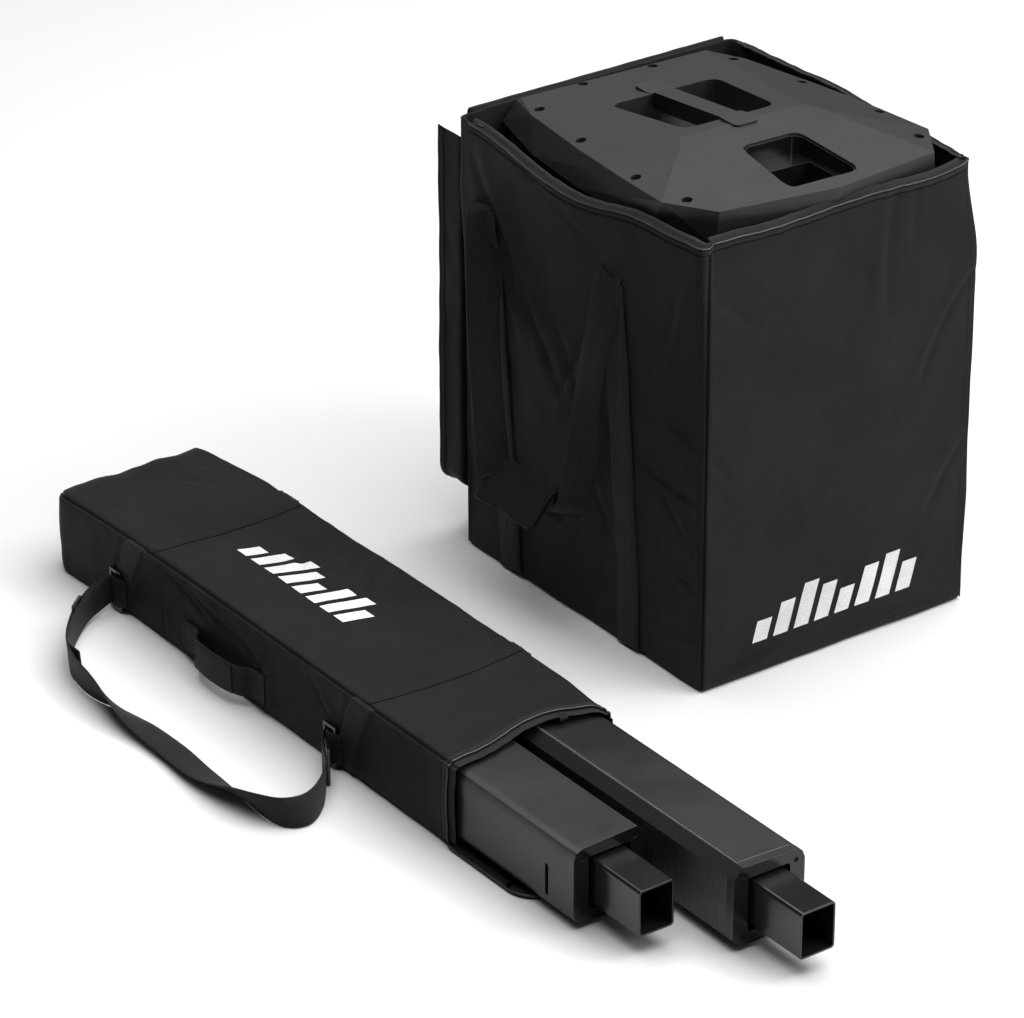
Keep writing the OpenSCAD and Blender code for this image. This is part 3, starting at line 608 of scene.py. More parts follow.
paint(brass_mat, "sub_socket_contacts")
paint(steel_mat, "sub_woofer_frame", "sub_amp_screws")
paint(paper_mat, "sub_woofer_cone")
paint(magnet_mat, "sub_woofer_magnet")
paint(abs_mat, "sub_port_tube")
paint(rubber_mat, "sub_feet")
paint(circuit_mat, "sub_amp_board")
paint(copper_mat, "sub_amp_transformer")
paint(paint_mat, "speaker_baffle")
paint(board_mat, "sub_bag_base_board")
paint(steel_mat, "speaker_driver_1", "speaker_driver_2", "speaker_driver_3", "speaker_driver_4")

# ------------------------------------------------------------------ subwoofer bag

bag_lo, bag_hi = (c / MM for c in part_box("sub_bag_shell"))
bag_w, bag_d = bag_hi.x - bag_lo.x, bag_hi.y - bag_lo.y
bag_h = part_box("sub_bag_rim_zip")[1].z / MM
CLOTH = 3.2  # thickness of the padded cloth, in mm


def rounded_outline(runs, normals, r, arc, spacing):
    """Points, outward normals and flat length round a closed outline.

    runs are its straight stretches, normals theirs, and arc the places on each corner of
    radius r, from 0 to 1. The last stretch ends where the first one starts.
    """
    p, n = [], []
    for k, ((a, b), q) in enumerate(zip(runs, normals)):
        count = max(8, int(math.dist(a, b) / spacing))
        for t in np.linspace(0, 1, count, endpoint=False):
            p.append([a[0] + (b[0] - a[0]) * t, a[1] + (b[1] - a[1]) * t])
            n.append(q)
        if k < 4:
            c = (b[0] - q[0] * r, b[1] - q[1] * r)
            q2 = normals[k + 1]
            for t in arc:
                g = t * math.pi / 2
                m = (q[0] * math.cos(g) + q2[0] * math.sin(g), q[1] * math.cos(g) + q2[1] * math.sin(g))
                p.append([c[0] + m[0] * r, c[1] + m[1] * r])
                n.append(m)
    p, n = np.array(p, float), np.array(n, float)
    return p, n, run_length(p)


def bag_outline(r):
    """The bag's outline in X and Y, from the back's middle to the left."""
    w, d = bag_w / 2, bag_d / 2
    runs = [((0, d), (-w + r, d)), ((-w, d - r), (-w, -d + r)), ((-w + r, -d), (w - r, -d)),
            ((w, -d + r), (w, d - r)), ((w - r, d), (0, d))]
    normals = [(0, 1), (-1, 0), (0, -1), (1, 0), (0, 1)]
    arc = (0.08, 0.24, 0.37, 0.43, 0.47, 0.5, 0.53, 0.57, 0.63, 0.76, 0.92)
    return rounded_outline(runs, normals, r, arc, 5)


LEFT_FOLDS = (
    ((205, 528), (22, 262), 15, 4.5, -10), ((214, 470), (120, 300), 10, 2.6, 6),
    ((120, 540), (-60, 470), 12, 2.6, 8), ((60, 380), (-40, 250), 10, 2.4, -6),
    ((20, 230), (-60, 120), 9, 2.2, 5), ((-130, 250), (-215, 170), 8, 2.2, -6),
    ((-222, 300), (-150, 322), 5, 1.6), ((-222, 232), (-110, 244), 4, 2.4),
    ((-222, 120), (-170, 132), 5, 1.6), ((-222, 64), (-160, 52), 5, 1.6),
    ((-30, 400), (60, 250), 9, 2.4, 6), ((-190, 500), (-150, 380), 9, 2.0),
)


def left_out(y, z):
    """How far the left wall stands out of its plane, in mm. A fold's ends are (y, z)."""
    out = -2.5 * (1 - step(z, 200, 520)) + 3 * hump(y, 0, 150) * hump(z, 330, 120)
    out = out + 8 * hump(y, 5, 95) * step(z, 440, 556) - 3 * hump(z, 90, 60) + 9 * step(z, 330, 556)
    out = out + 2.2 * ripple(y / 74, z / 95, 3) + 0.9 * ripple(y / 26 + 4, z / 40, 5)
    return out + creases(y, z, LEFT_FOLDS)


RIGHT_FOLDS = (
    ((205, 520), (40, 330), 13, 3.6, 8), ((190, 420), (90, 260), 10, 2.4, -6),
    ((-205, 505), (-60, 380), 12, 3.0, 6), ((-200, 180), (-80, 90), 10, 2.4, 4),
)


def right_out(y, z):
    out = -2.5 * (1 - step(z, 200, 520)) + 3 * hump(y, 0, 160) * hump(z, 300, 140)
    out = out + 3 * hump(y, 60, 110) * step(z, 440, 556) - 7 * step(-y, 60, 215) * step(z, 120, 520)
    out = out + 2.4 * ripple(y / 80 + 9, z / 90, 8) + 1.0 * ripple(y / 30, z / 44, 9)
    return out + creases(y, z, RIGHT_FOLDS)


FRONT_FOLDS = (
    ((70, 556), (62, 400), 11, 3.4, 6), ((100, 556), (96, 470), 8, 2.0),
    ((192, 430), (110, 300), 9, 3.2, 10), ((192, 220), (130, 130), 9, 2.6, 6),
    ((-192, 500), (-120, 440), 8, 2.0, 4), ((-192, 300), (-140, 240), 7, 1.6),
    ((-180, 18), (-60, 30), 6, 1.8), ((20, 22), (150, 16), 6, 1.6),
)


def front_out(x, z):
    out = -2.5 * (1 - step(z, 200, 520)) + 3 * hump(x, 0, 120) * hump(z, 260, 150)
    out = out - (3 + 4 * step(abs(x), 90, 190)) * step(z, 430, 556)
    out = out + 1.7 * ripple(x / 82 + 3, z / 100, 11) + 0.8 * ripple(x / 30, z / 46 + 2, 12)
    return out + creases(x, z, FRONT_FOLDS)


def back_out(x, z):
    return 1.0 * ripple(x / 70, z / 80, 21) - 1.5


def bag_out(p, n, z):
    """Outward move of the bag's wall at plan points p with normals n and heights z."""
    x, y = p[:, 0], p[:, 1]
    nx, ny = n[:, 0], n[:, 1]
    return (np.where(nx < 0, nx ** 2, 0) * left_out(y, z) + np.where(nx > 0, nx ** 2, 0) * right_out(y, z)
            + np.where(ny < 0, ny ** 2, 0) * front_out(x, z) + np.where(ny > 0, ny ** 2, 0) * back_out(x, z))


def rim_z(p):
    """Height of the bag's rim, which waves and sags between the corners."""
    x, y = p[:, 0], p[:, 1]
    w, d = bag_w / 2, bag_d / 2
    left, right = step(-x, w - 30, w), step(x, w - 30, w)
    front, back = step(-y, d - 30, d), step(y, d - 30, d)
    z = np.full(len(p), bag_h - 2.0) + 1.1 * ripple(p[:, 0] / 16 + p[:, 1] / 19, p[:, 1] / 40, 39)
    z += front * (4 * step(x, -w, -40) + 2 * np.sin((x + 30) / 34) - 1)
    z -= left * (16 * hump(y, 20, 105) - 1.2 * np.sin(y / 21))
    z += right * (3 * hump(y, 60, 120) + 3 * hump(y, -200, 50) + 1.4 * np.sin(y / 25))
    z -= 3.5 * hump(x, -w, 22) * hump(y, -d, 22)
    z += back * 1.5
    return z


outline_p, outline_n, outline_s = bag_outline(9)
rim = rim_z(outline_p)


# How far each top corner is drawn in, in mm, after its signs of X and Y
CORNER_PULL = ((-1, -1, 5), (1, -1, 13), (1, 1, 6), (-1, 1, 5))


def bag_row(z, extra):
    """One ring of the bag at heights z, moved out by extra; its top corners are pulled round."""
    out = bag_out(outline_p, outline_n, z) + extra
    q = outline_p + outline_n * out[:, None]
    for sx, sy, pull in CORNER_PULL:
        d = np.linalg.norm(outline_p - [sx * bag_w / 2, sy * bag_d / 2], axis=1)
        q = q - np.outer(pull * np.exp(-d / 24) * step(z, 440, 552), [sx * 0.707, sy * 0.707])
    return np.column_stack([q, z])


seam = np.zeros(len(outline_p))
for sx in (-1, 1):
    for sy in (-1, 1):
        corner = np.array([sx * (bag_w / 2 - 2.6), sy * (bag_d / 2 - 2.6)])
        away = np.linalg.norm(outline_p - corner, axis=1)
        seam += 1.1 * np.exp(-((away - 3.2) / 1.8) ** 2) - 2.6 * np.exp(-(away / 0.9) ** 2)

rows, flat = [], []
for inset, z in ((60, 0.0), (20, 0.0), (9, 0.0), (4.5, 0.6), (1.6, 2.6), (0.4, 5.0)):
    rows.append(bag_row(np.full(len(rim), z), -inset - 1.0))
    flat.append(-inset)
for v in np.linspace(0.02, 1, 112):
    z = v * rim
    pinch = 0.6 * ripple(outline_s / 16, z / 26, 31) * hump(v, 1, 0.05)
    rows.append(bag_row(z, seam * step(z, 0, 20) + pinch))
    flat.append(v * bag_h)
for out, up in ((-0.9, 0.9), (-2.3, 0.9), (-CLOTH, -0.4)):
    rows.append(bag_row(rim, out) + [0, 0, up])
    flat.append(flat[-1] + 1.4)
for down in (4, 9, 15, 24, 36, 52, 80, 130, 220, 340, 460, 540):
    pucker = 0.4 * ripple(outline_s / 22, rim * 0 + down / 30, 33)
    rows.append(bag_row(np.maximum(rim - down, 5.5), -CLOTH - pucker))
    flat.append(flat[-1] + 12)
rows = np.transpose(np.array(rows), (1, 0, 2))
bag = grid("bag_cloth", rows, nylon, "sub_bag", loop_u=True, u=outline_s, v=flat)
close_up(bag, lambda co: abs(co.z) < 0.002)
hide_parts("sub_bag_shell")


def stitches(name, line, pitch, size, material, body):
    """A row of single stitches along a line."""
    p = np.asarray(line, float)
    s = run_length(p)
    at = np.arange(pitch / 2, s[-1], pitch)
    c = np.stack([np.interp(at, s, p[:, k]) for k in range(3)], 1)
    e = np.stack([np.interp(np.minimum(at + 1, s[-1]), s, p[:, k]) for k in range(3)], 1) - c
    e /= np.maximum(np.linalg.norm(e, axis=1, keepdims=True), 1e-9)
    up = np.where(np.abs(e[:, 2:3]) > 0.8, [[0, 1.0, 0]], [[0, 0, 1.0]])
    a = np.cross(e, up)
    a /= np.linalg.norm(a, axis=1, keepdims=True)
    o = np.cross(a, e)
    long, fat = size
    verts, faces = [], []
    for k in range(len(c)):
        base = len(verts)
        verts.append(c[k] - e[k] * long / 2)
        for t in (-0.3, 0.3):
            for g in range(6):
                out = a[k] * math.cos(g * math.pi / 3) + o[k] * math.sin(g * math.pi / 3)
                verts.append(c[k] + e[k] * long * t + fat / 2 * out)
        verts.append(c[k] + e[k] * long / 2)
        for g in range(6):
            h = (g + 1) % 6
            faces += [(base, base + 1 + h, base + 1 + g),
                      (base + 1 + g, base + 1 + h, base + 7 + h, base + 7 + g),
                      (base + 13, base + 7 + g, base + 7 + h)]
    return make(name, np.array(verts) * MM, faces, material, body)


CORNERS = ((-1, -1), (1, -1), (-1, 1), (1, 1))
front_and_sides = [k for k in range(len(rim)) if outline_p[k][1] < bag_d / 2 - 24]
ring = bag_row(rim, 0.9) + [0, 0, -0.3]
coil = tube("rim_zip_coil", ring[front_and_sides], 0.9, coil_mat, "sub_bag", 8)
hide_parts("sub_bag_rim_zip")
tape = np.array([bag_row(rim - d, o) for d, o in ((2.0, 0.1), (2.6, 0.8), (7.4, 0.8), (8.2, 0.0))])
for k, d in enumerate((1.9, 8.6)):
    tube("rim_line_%d" % k, bag_row(rim - d, 0.25)[front_and_sides], 0.6, seam_mat, "sub_bag", 6)
tape = np.transpose(tape, (1, 0, 2))[front_and_sides]
grid("rim_zip_tape", tape, tape_mat, "sub_bag", u=outline_s[front_and_sides])
rim_seam = bag_row(rim - 11.5, 0.35)[front_and_sides]
stitches("rim_stitches", rim_seam, 4.2, (3.0, 0.8), thread_mat, "sub_bag")
hem = []
for t in np.linspace(0, 1, 6):
    wave = 1.6 * ripple(outline_s / 11, 0 * rim + 3, 41) + 1.3 * ripple(outline_s / 27, 0 * rim + t * 2, 42)
    lift = np.column_stack([0 * rim, 0 * rim, 5.0 * math.sin(t * 2.2) + wave * t * 0.8])
    hem.append(bag_row(rim - 1, -CLOTH - 0.6 - 7.5 * t + wave * t) + lift)
hem = np.transpose(np.array(hem), (1, 0, 2))[front_and_sides]
grid("rim_hem", hem, nylon_trim, "sub_bag", u=outline_s[front_and_sides])
for k, (sx, sy) in enumerate(CORNERS):
    c = np.argmin(np.linalg.norm(outline_p - [sx * bag_w / 2, sy * bag_d / 2], axis=1))
    for side in (-1, 1):
        z = np.linspace(10, rim[c] - 12, 100)
        j = c + side * 6
        line = np.array([bag_row(np.full(len(rim), h), 0.25)[j % len(rim)] for h in z])
        stitches("corner_stitches_%d_%d" % (k, side), line, 4.6, (3.2, 0.7), thread_mat, "sub_bag")

for k, (sx, sy) in enumerate(CORNERS):
    c = int(np.argmin(np.linalg.norm(outline_p - [sx * bag_w / 2, sy * bag_d / 2], axis=1)))
    line = np.array([bag_row(np.full(len(rim), h), -0.5)[c] for h in np.linspace(4, rim[c] - 9, 120)])
    tube("corner_seam_%d" % k, line, 0.9, seam_mat, "sub_bag", 6)

# Sewn webbing runs and the free carry loops

# The free loops' points: height, shift along the wall and distance from it, then their twist
NEAR_SWAY = ((440, 0, 1), (452, 0, 1), (462, 1, 3), (455, 3, 7), (418, 5, 12), (350, 16, 20),
             (290, 19, 26), (225, 18, 33), (182, 22, 40), (160, 38, 41))
FAR_SWAY = ((440, 0, 1), (452, 0, 1), (461, 0, 3), (455, 0, 7), (418, -2, 9), (350, -12, 16),
            (290, -26, 24), (225, -48, 34), (176, -66, 42), (158, -72, 42))
NEAR_TWIST = (0, 0, 0.15, 0.4, 0.35, 0.15, 0.3, 0.9, 2.2, 2.2)
FAR_TWIST = (0, 0, 0.2, 0.7, 1.6, 1.2, 0.8, 0.9, 1.6, 1.8)
# Where each sewn run meets the loop along Y, and its lean in degrees
RUNS = ((-66, 3.4, NEAR_SWAY, NEAR_TWIST), (176, 5.2, FAR_SWAY, FAR_TWIST))

for side, out, word in ((-1, left_out, "left"), (1, right_out, "right")):
    body = "handle_" + word
    for k, (top_y, lean, sway, twist) in enumerate(RUNS):
        zs = np.concatenate([np.linspace(5, 440, 40), [450, 457]])
        ys = top_y - (452 - zs) * math.tan(math.radians(lean))
        xs = side * (bag_w / 2 + out(ys, zs) + 1.3)
        line = np.column_stack([xs, ys, zs])
        across = np.tile([0, 1.0, 0.06], (len(line), 1))
        strap = ribbon("sewn_webbing_%s_%d" % (word, k), line, across, 40, 1.9, strap_mat, "sub_bag", 90)
        if side < 0 and k == 0:
            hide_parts("sub_bag_webbing")
        for edge in (-1, 1):
            off = np.column_stack([xs + side * 1.0, ys + edge * 17.5, zs])
            row = "webbing_stitches_%s_%d_%d" % (word, k, edge)
            stitches(row, off[:-2], 5, (3.4, 0.8), thread_mat, "sub_bag")
        hx = side * (bag_w / 2 + 6)
        loop = [[hx + side * (o - 4), top_y + dy, z] for z, dy, o in sway]
        bend = np.gradient([q[1] for q in loop]) / np.minimum(np.gradient([q[2] for q in loop]), -4)
        wide = [[side * t, 1, -float(slant) * (i > 2)] for i, (slant, t) in enumerate(zip(bend, twist))]
        free = ribbon("carry_loop_%s_%d" % (word, k), loop, wide, 39, 1.9, strap_mat, body, 80)
        if k == 0:
            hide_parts("carry_handle_" + word)
    # The padded grip: a flap folded round both runs, and its loose inner edge
    turn = math.radians(-41 * side)
    centre = np.array([side * (bag_w / 2 + 45), 62, 152.0])

    def laid(points):
        """Points of the grip turned and moved to where it hangs."""
        q = np.asarray(points, float)
        x, z = q[..., 0], q[..., 2]
        c, s = math.cos(turn), math.sin(turn)
        return np.stack([x * c + z * s, q[..., 1], -x * s + z * c], -1) + centre

    shape = []
    for t in np.linspace(-1, 1, 34):
        pull = 1 - 0.10 * (1 - abs(t)) ** 2 - 0.5 * max(0, abs(t) - 0.97) / 0.03 * 0.5
        row = []
        for g in np.linspace(0, 2 * math.pi, 44, endpoint=False):
            cx, cz = math.cos(g), math.sin(g)
            puff = (1 + 0.12 * math.sin(7 * t + 2 * g)) * (1 - 0.35 * max(0, abs(t) - 0.9) / 0.1)
            flat_x = 5.6 * np.sign(cx) * abs(cx) ** 0.75 * puff
            high = 30.5 * np.sign(cz) * abs(cz) ** 0.62 * pull
            row.append([flat_x + 1.3 * float(ripple(t * 2.2, cz * 1.5 + 5, 51)), t * 56, high])
        shape.append(row)
    grip = grid("grip_" + word, laid(shape), nylon, body, loop_v=True, caps=True)
    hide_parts("carry_grip_" + word)
    curl = []
    for t in np.linspace(0, 1, 14):
        row = []
        for q in np.linspace(-1, 1, 16):
            out_by = 6 + 9 * math.sin(t * 2.6) + 3 * t * q
            down = -54 - 26 * t + 3 * math.sin(3 * q)
            row.append([-side * out_by, down, 15 * q * (1 - 0.2 * t) + 13 - 8 * t])
        curl.append(row)
    loose = grid("grip_edge_" + word, laid(curl), nylon, body)
    for face in (-1, 1):
        for high in (-24, 24):
            line = laid([[face * 5.9 * 0.86, t, high] for t in np.linspace(-52, 52, 40)])
            stitches("grip_stitches_%s_%d_%d" % (word, face, high), line, 4, (2.8, 0.8), thread_mat, body)

# The lid, hanging open behind the bag on its cloth hinge

lid_lo, lid_hi = (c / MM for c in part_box("sub_bag_lid"))
zip_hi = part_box("sub_bag_lid_zip")[1] / MM
lx, lz0, lz1 = (lid_hi.x - lid_lo.x) / 2, lid_lo.z, lid_hi.z
ly0, ly1 = lid_lo.y, zip_hi.y - 0.4


def lid_ring(y, inset):
    """One ring of the lid in X and Z at depth y, from its top left down and round."""
    r = 22 - min(inset, 16)
    x, z0, z1 = lx - inset, lz0 + inset, lz1 - inset
    pts = []
    runs = (((-x, z1), (-x, z0 + r)), ((-x + r, z0), (x - r, z0)), ((x, z0 + r), (x, z1)))
    for a, b2 in runs:
        for t in np.linspace(0, 1, 60):
            pts.append([a[0] + (b2[0] - a[0]) * t, y, a[1] + (b2[1] - a[1]) * t])
        if a[0] != x:
            c = (-x + r, z0 + r) if a[0] == -x and b2[0] == -x else (x - r, z0 + r)
            g0 = math.pi if c[0] < 0 else 1.5 * math.pi
            for t in np.linspace(0.1, 0.9, 7):
                g = g0 + t * math.pi / 2
                pts.append([c[0] + r * math.cos(g), y, c[1] + r * math.sin(g)])
    return np.array(pts)


def lid_wave(ring, amount):
    """A ring of the lid with its cloth made uneven."""
    q = ring.copy()
    s = run_length(ring)
    q[:, 1] += amount * 2.2 * ripple(s / 60, ring[:, 1] / 30, 61)
    mid = np.array([0, 0, (lz0 + lz1) / 2])
    d = ring - mid
    d[:, 1] = 0
    d /= np.linalg.norm(d, axis=1, keepdims=True)
    return q + d * (amount * 2.6 * ripple(s / 38, ring[:, 1] / 22 + 3, 62) - 0.8)[:, None]


def lid_panel(y, k):
    """A ring of the lid's flat panel, drawn in towards the middle of its hinged edge by k."""
    ring = lid_ring(y, 10)
    return np.array([0, y, lz1 - 10]) + (ring - [0, y, lz1 - 10]) * k


panel = [lid_wave(lid_panel(ly0 + 1.4, k), 0.3) for k in (0.01, 0.2, 0.4, 0.6, 0.8, 0.93)]
back_panel = [lid_wave(lid_panel(ly0 + 4.2, k), 0.3) for k in (0.93, 0.8, 0.6, 0.4, 0.2, 0.01)]
LID_SKIRT = ((1.8, 1.6, 0.5), (4, 0.4, 0.6), (9, 0.2, 0.9), (14, 0.2, 1), (20, 0.2, 1), (26, 0.2, 1),
             (32, 0.2, 1), (37, 0.2, 0.9), (ly1 - ly0, 0.4, 0.6), (ly1 - ly0 + 0.6, 1.6, 0.6),
             (ly1 - ly0, 3.2, 0.6), (34, 3.4, 1), (24, 3.4, 1), (14, 3.4, 1), (7, 4, 0.7), (4.4, 8, 0.3))
corner = [lid_wave(lid_ring(ly0 + 1.4, i), 0.3) for i in (10, 4)]
skirt = [lid_wave(lid_ring(ly0 + y, i), a) for y, i, a in LID_SKIRT]
lid_rows = np.array(panel + corner + skirt + back_panel)
lid = grid("lid_cloth", np.transpose(lid_rows, (1, 0, 2)), nylon, "lid")
close_up(lid)
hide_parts("sub_bag_lid")
lid_edge = lid_wave(lid_ring(ly1 - 0.2, -0.6), 0.6)
lid_coil = tube("lid_zip_coil", lid_edge, 1.4, coil_mat, "lid", 8)
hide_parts("sub_bag_lid_zip")
LID_TAPE = ((1.4, 0.6), (4, 0.9), (8, 0.8), (8.6, 0.0))
lid_tape = np.array([lid_wave(lid_ring(ly1 - d, -o), 0.7) for d, o in LID_TAPE])
grid("lid_zip_tape", np.transpose(lid_tape, (1, 0, 2)), tape_mat, "lid")

strip = []
for x in np.linspace(-bag_w / 2 + 12, bag_w / 2 - 12, 60):
    sag = 1.2 * float(ripple(x / 35, 2.0, 71))
    bend = [[x, 227.4, 549], [x, 228.6, 556 + sag], [x, 231.5, 559 + sag], [x, 234.6, 555],
            [x, 236.5, 545], [x, 236.6, 530], [x, 236.2, 520]]
    strip.append(smoothed(bend, 26))
strip = grid("lid_hinge_cloth", strip, nylon)
solid = strip.modifiers.new("thickness", "SOLIDIFY")
solid.thickness = 1.2 * MM
apply_modifiers(strip)
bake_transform(strip)

# ------------------------------------------------------------------ long bag

long_lo, long_hi = (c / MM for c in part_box("long_bag_shell"))
mouth_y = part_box("long_bag_rim_zip")[0].y / MM
far_y = long_hi.y
long_w, long_h = long_hi.x - long_lo.x, long_hi.z
long_x = (long_lo.x + long_hi.x) / 2
riser_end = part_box("riser_shell")[1].y / MM
speaker_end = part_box("speaker_shell")[1].y / MM
columns_top = max(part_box("speaker_shell")[1].z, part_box("riser_shell")[1].z) / MM
slack = max(1.0, long_h - columns_top - 1.0)  # the room above the columns, in mm


def long_outline(w, h, r):
    """The long bag's section in X and Z, from the bottom's middle to the left."""
    runs = [((0, 0), (-w + r, 0)), ((-w, r), (-w, h - r)), ((-w + r, h), (w - r, h)),
            ((w, h - r), (w, r)), ((w - r, 0), (0, 0))]
    normals = [(0, -1), (-1, 0), (0, 1), (1, 0), (0, -1)]
    arc = (0.08, 0.22, 0.36, 0.45, 0.55, 0.64, 0.78, 0.92)
    return rounded_outline(runs, normals, r, arc, 4)


lp, ln, ls = long_outline(long_w / 2, long_h, 9)
upper = step(lp[:, 1], 40, long_h)
near_seam, far_seam = -175.0, 262.0  # where the cross seams lie along Y


def seam_bow(x):
    """How far the cross seams bow towards the mouth across the top."""
    return -10 * (1 - ((x - long_x) / (long_w / 2)) ** 2)


def long_sag(x, y):
    """How far the top sinks, in mm: it stands on the columns and slumps beyond their ends."""
    left = step(y, riser_end + 20, riser_end + 150)
    right = step(y, speaker_end + 20, speaker_end + 150)
    side = step(x, long_x - 40, long_x + 40)
    empty = left * (1 - side) + right * side
    beside = 1 - hump(x, long_x - 50, 52) - hump(x, long_x + 50, 52)
    return empty * min(12, 0.6 * slack) + 0.3 * slack * beside


# Fold lines of the top, with X from the bag's middle
TOP_FOLDS = (
    ((107, 190), (10, 130), 8, 4.4, 6), ((107, 130), (40, 96), 6, 2.6, -5),
    ((107, 96), (28, 30), 8, 4.4, 5), ((107, 60), (50, 8), 6, 2.4),
    ((20, 420), (104, 300), 10, 4.0, 8), ((-60, 440), (40, 380), 11, 3.4, -6),
    ((60, 448), (100, 340), 7, 2.2, 3),
)


def top_out(x, y):
    """How far the top of the long bag stands up, in mm."""
    out = -long_sag(x, y)
    out = out + 1.5 * ripple(x / 60, y / 80, 81) * step(y, -120, 60) + 0.7 * ripple(x / 24, y / 32, 82)
    out = out + creases(x - long_x, y, TOP_FOLDS)
    for centre in (near_seam, far_seam):
        d = y - centre - seam_bow(x)
        out = out - 1.0 * np.exp(-(d / 3.4) ** 2) + 0.8 * hump(d, 9, 6) + 0.5 * hump(d, -8, 6)
        out = out + 0.35 * ripple(x / 9, y / 16, 83) * hump(d, 0, 14)
    return out


# Fold lines of the side with the handle, as (y, z)
SIDE_FOLDS = (
    ((240, 96), (120, 66), 6, 3.0, 4), ((190, 98), (60, 74), 6, 3.4, -4), ((96, 92), (30, 60), 6, 3.0),
    ((10, 95), (40, 40), 7, 2.4), ((-60, 100), (-120, 40), 8, 1.8), ((230, 60), (232, 10), 6, 2.4),
)
HANDLE_SIDE, OTHER_SIDE = 91, 95  # the seeds of the two sides' ripples


def side_out(y, z, seed):
    """How far a side of the long bag stands out of its plane, in mm."""
    out = 2.0 * ripple(y / 60, z / 50, seed) + 0.9 * ripple(y / 22, z / 26, seed + 1)
    out = out + 2.5 * hump(z, 52, 34)
    if seed == HANDLE_SIDE:
        out = out + creases(y, z, SIDE_FOLDS)
        for foot_y, depth in ((-110, 1.8), (352, 1.6)):
            out = out - depth * np.exp(-((y - (foot_y - 0.3 * z)) / 2.4) ** 2)
    return out * step(z, 0, 16)


def long_row(y, inset=0.0):
    """One ring of the long bag at depth y, a number or one per point, moved in by inset."""
    x, z = lp[:, 0] + long_x, lp[:, 1]
    ys = np.full(len(lp), float(y)) if np.isscalar(y) else y
    nx, nz = ln[:, 0], ln[:, 1]
    out = np.where(nz > 0, nz ** 2, 0) * top_out(x, ys)
    out = out + np.where(nx < 0, nx ** 2, 0) * side_out(ys, z, HANDLE_SIDE)
    out = out + np.where(nx > 0, nx ** 2, 0) * side_out(ys, z, OTHER_SIDE)
    for cx in (-1, 1):
        edge = np.linalg.norm(lp - [cx * (long_w / 2 - 2.6), long_h - 2.6], axis=1)
        out = out + 1.0 * np.exp(-((edge - 3.2) / 1.8) ** 2) - 2.4 * np.exp(-(edge / 0.9) ** 2)
    low = step(z, 2, 30)
    settled = np.where(nz < 0, np.where(inset > 0, 1, 0), 1)
    q = np.column_stack([x + nx * (out - inset), ys, z + nz * (out - inset) * settled])
    q[:, 2] = q[:, 2] - long_sag(x, ys) * np.abs(nx) * low * (z / long_h)
    near = np.exp(-((ys - mouth_y) / 55) ** 2)
    q[:, 2] = q[:, 2] + near * upper * (7 * hump(x, long_x + 22, 55) - 8 * step(x, long_x + 84, long_x + 107))
    q[:, 2] = np.maximum(q[:, 2], 0.0)
    end = step(ys, 320, far_y)
    q[:, 0] = q[:, 0] - end * (7 + 7 * step(x, long_x - 40, long_x + 100))
    last = step(ys, far_y - 34, far_y)
    q[:, 0] = q[:, 0] + last * 12 * step(-x, -long_x + 60, -long_x + 107)
    q[:, 2] = q[:, 2] - last * upper * (5 + 4 * ripple(x / 30, x * 0 + 3, 85))
    return q


mouth_wave = 3.0 * ripple(ls / 60, ls * 0 + 1, 101) + 1.2 * ripple(ls / 17, ls * 0 + 5, 102)
mouth_line = mouth_y + 2 + mouth_wave * step(lp[:, 1], 10, 60) + 16 * upper * hump(lp[:, 0], 20, 60)
rows = []
for deep in (260, 160, 90, 50, 26, 12, 5):
    rows.append(long_row(mouth_y + deep, 3.0))
for inset, dy in ((2.8, 0.6), (1.6, -0.3), (0.3, 0.5)):
    rows.append(long_row(mouth_line + dy, inset))
body_y = np.arange(mouth_y + 6, far_y - 18, 4.0)
for y in np.unique(np.round(body_y, 2)):
    behind_mouth = np.maximum(y, mouth_line + 2.5 + (y - mouth_y) * 0.05)
    rows.append(long_row(behind_mouth if y < mouth_y + 34 else y, 0.0))
for t in (0.3, 0.6, 0.85, 1.0):
    turn = t * math.pi / 2
    rows.append(long_row(far_y - 18 + 18 * math.sin(turn), 14 * (1 - math.cos(turn))))
rows = np.array(rows)
cap = rows[-1]
centre = np.array([long_x, far_y, long_h * 0.46])
for k in (0.8, 0.5, 0.2):
    ring = centre + (cap - centre) * k
    ring[:, 1] = far_y - 0.6 - 1.6 * (1 - k) + 1.2 * ripple(ring[:, 0] / 40, ring[:, 2] / 40, 103)
    rows = np.concatenate([rows, ring[None]])
flat_y = run_length(rows[:, len(ls) // 2])
long_bag = grid("long_bag_cloth", rows, nylon, "long_bag", loop_v=True, u=flat_y, v=ls)
close_up(long_bag, lambda co: co.y > far_y * MM - 0.02)
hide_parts("long_bag_shell")

not_floor = [k for k in range(len(lp)) if lp[k][1] > 6]
ring = long_row(mouth_line - 0.6, -0.9)
mouth_coil = tube("mouth_zip_coil", ring[not_floor], 1.1, coil_mat, "long_bag", 8)
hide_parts("long_bag_rim_zip")
tape = np.array([long_row(mouth_line + d, -o) for d, o in ((0.8, 0.8), (4, 1.2), (8, 1.1), (9, 0.1))])
tape = np.transpose(tape, (1, 0, 2))[not_floor]
grid("mouth_zip_tape", tape, tape_mat, "long_bag", u=ls[not_floor])
mouth_seam = long_row(mouth_line + 12, -0.35)[not_floor]
stitches("mouth_stitches", mouth_seam, 4.2, (3.0, 0.8), thread_mat, "long_bag")
hem = []
for t in np.linspace(0, 1, 7):
    wave = 1.7 * ripple(ls / 12, ls * 0 + 7, 111) + 1.2 * ripple(ls / 30, ls * 0 + t, 112)
    edge = mouth_line + 4 - 15 * math.sin(t * 1.5) + wave * t * 1.3
    hem.append(long_row(edge, 1.8 + (0.9 + 0.5 * wave) * t))
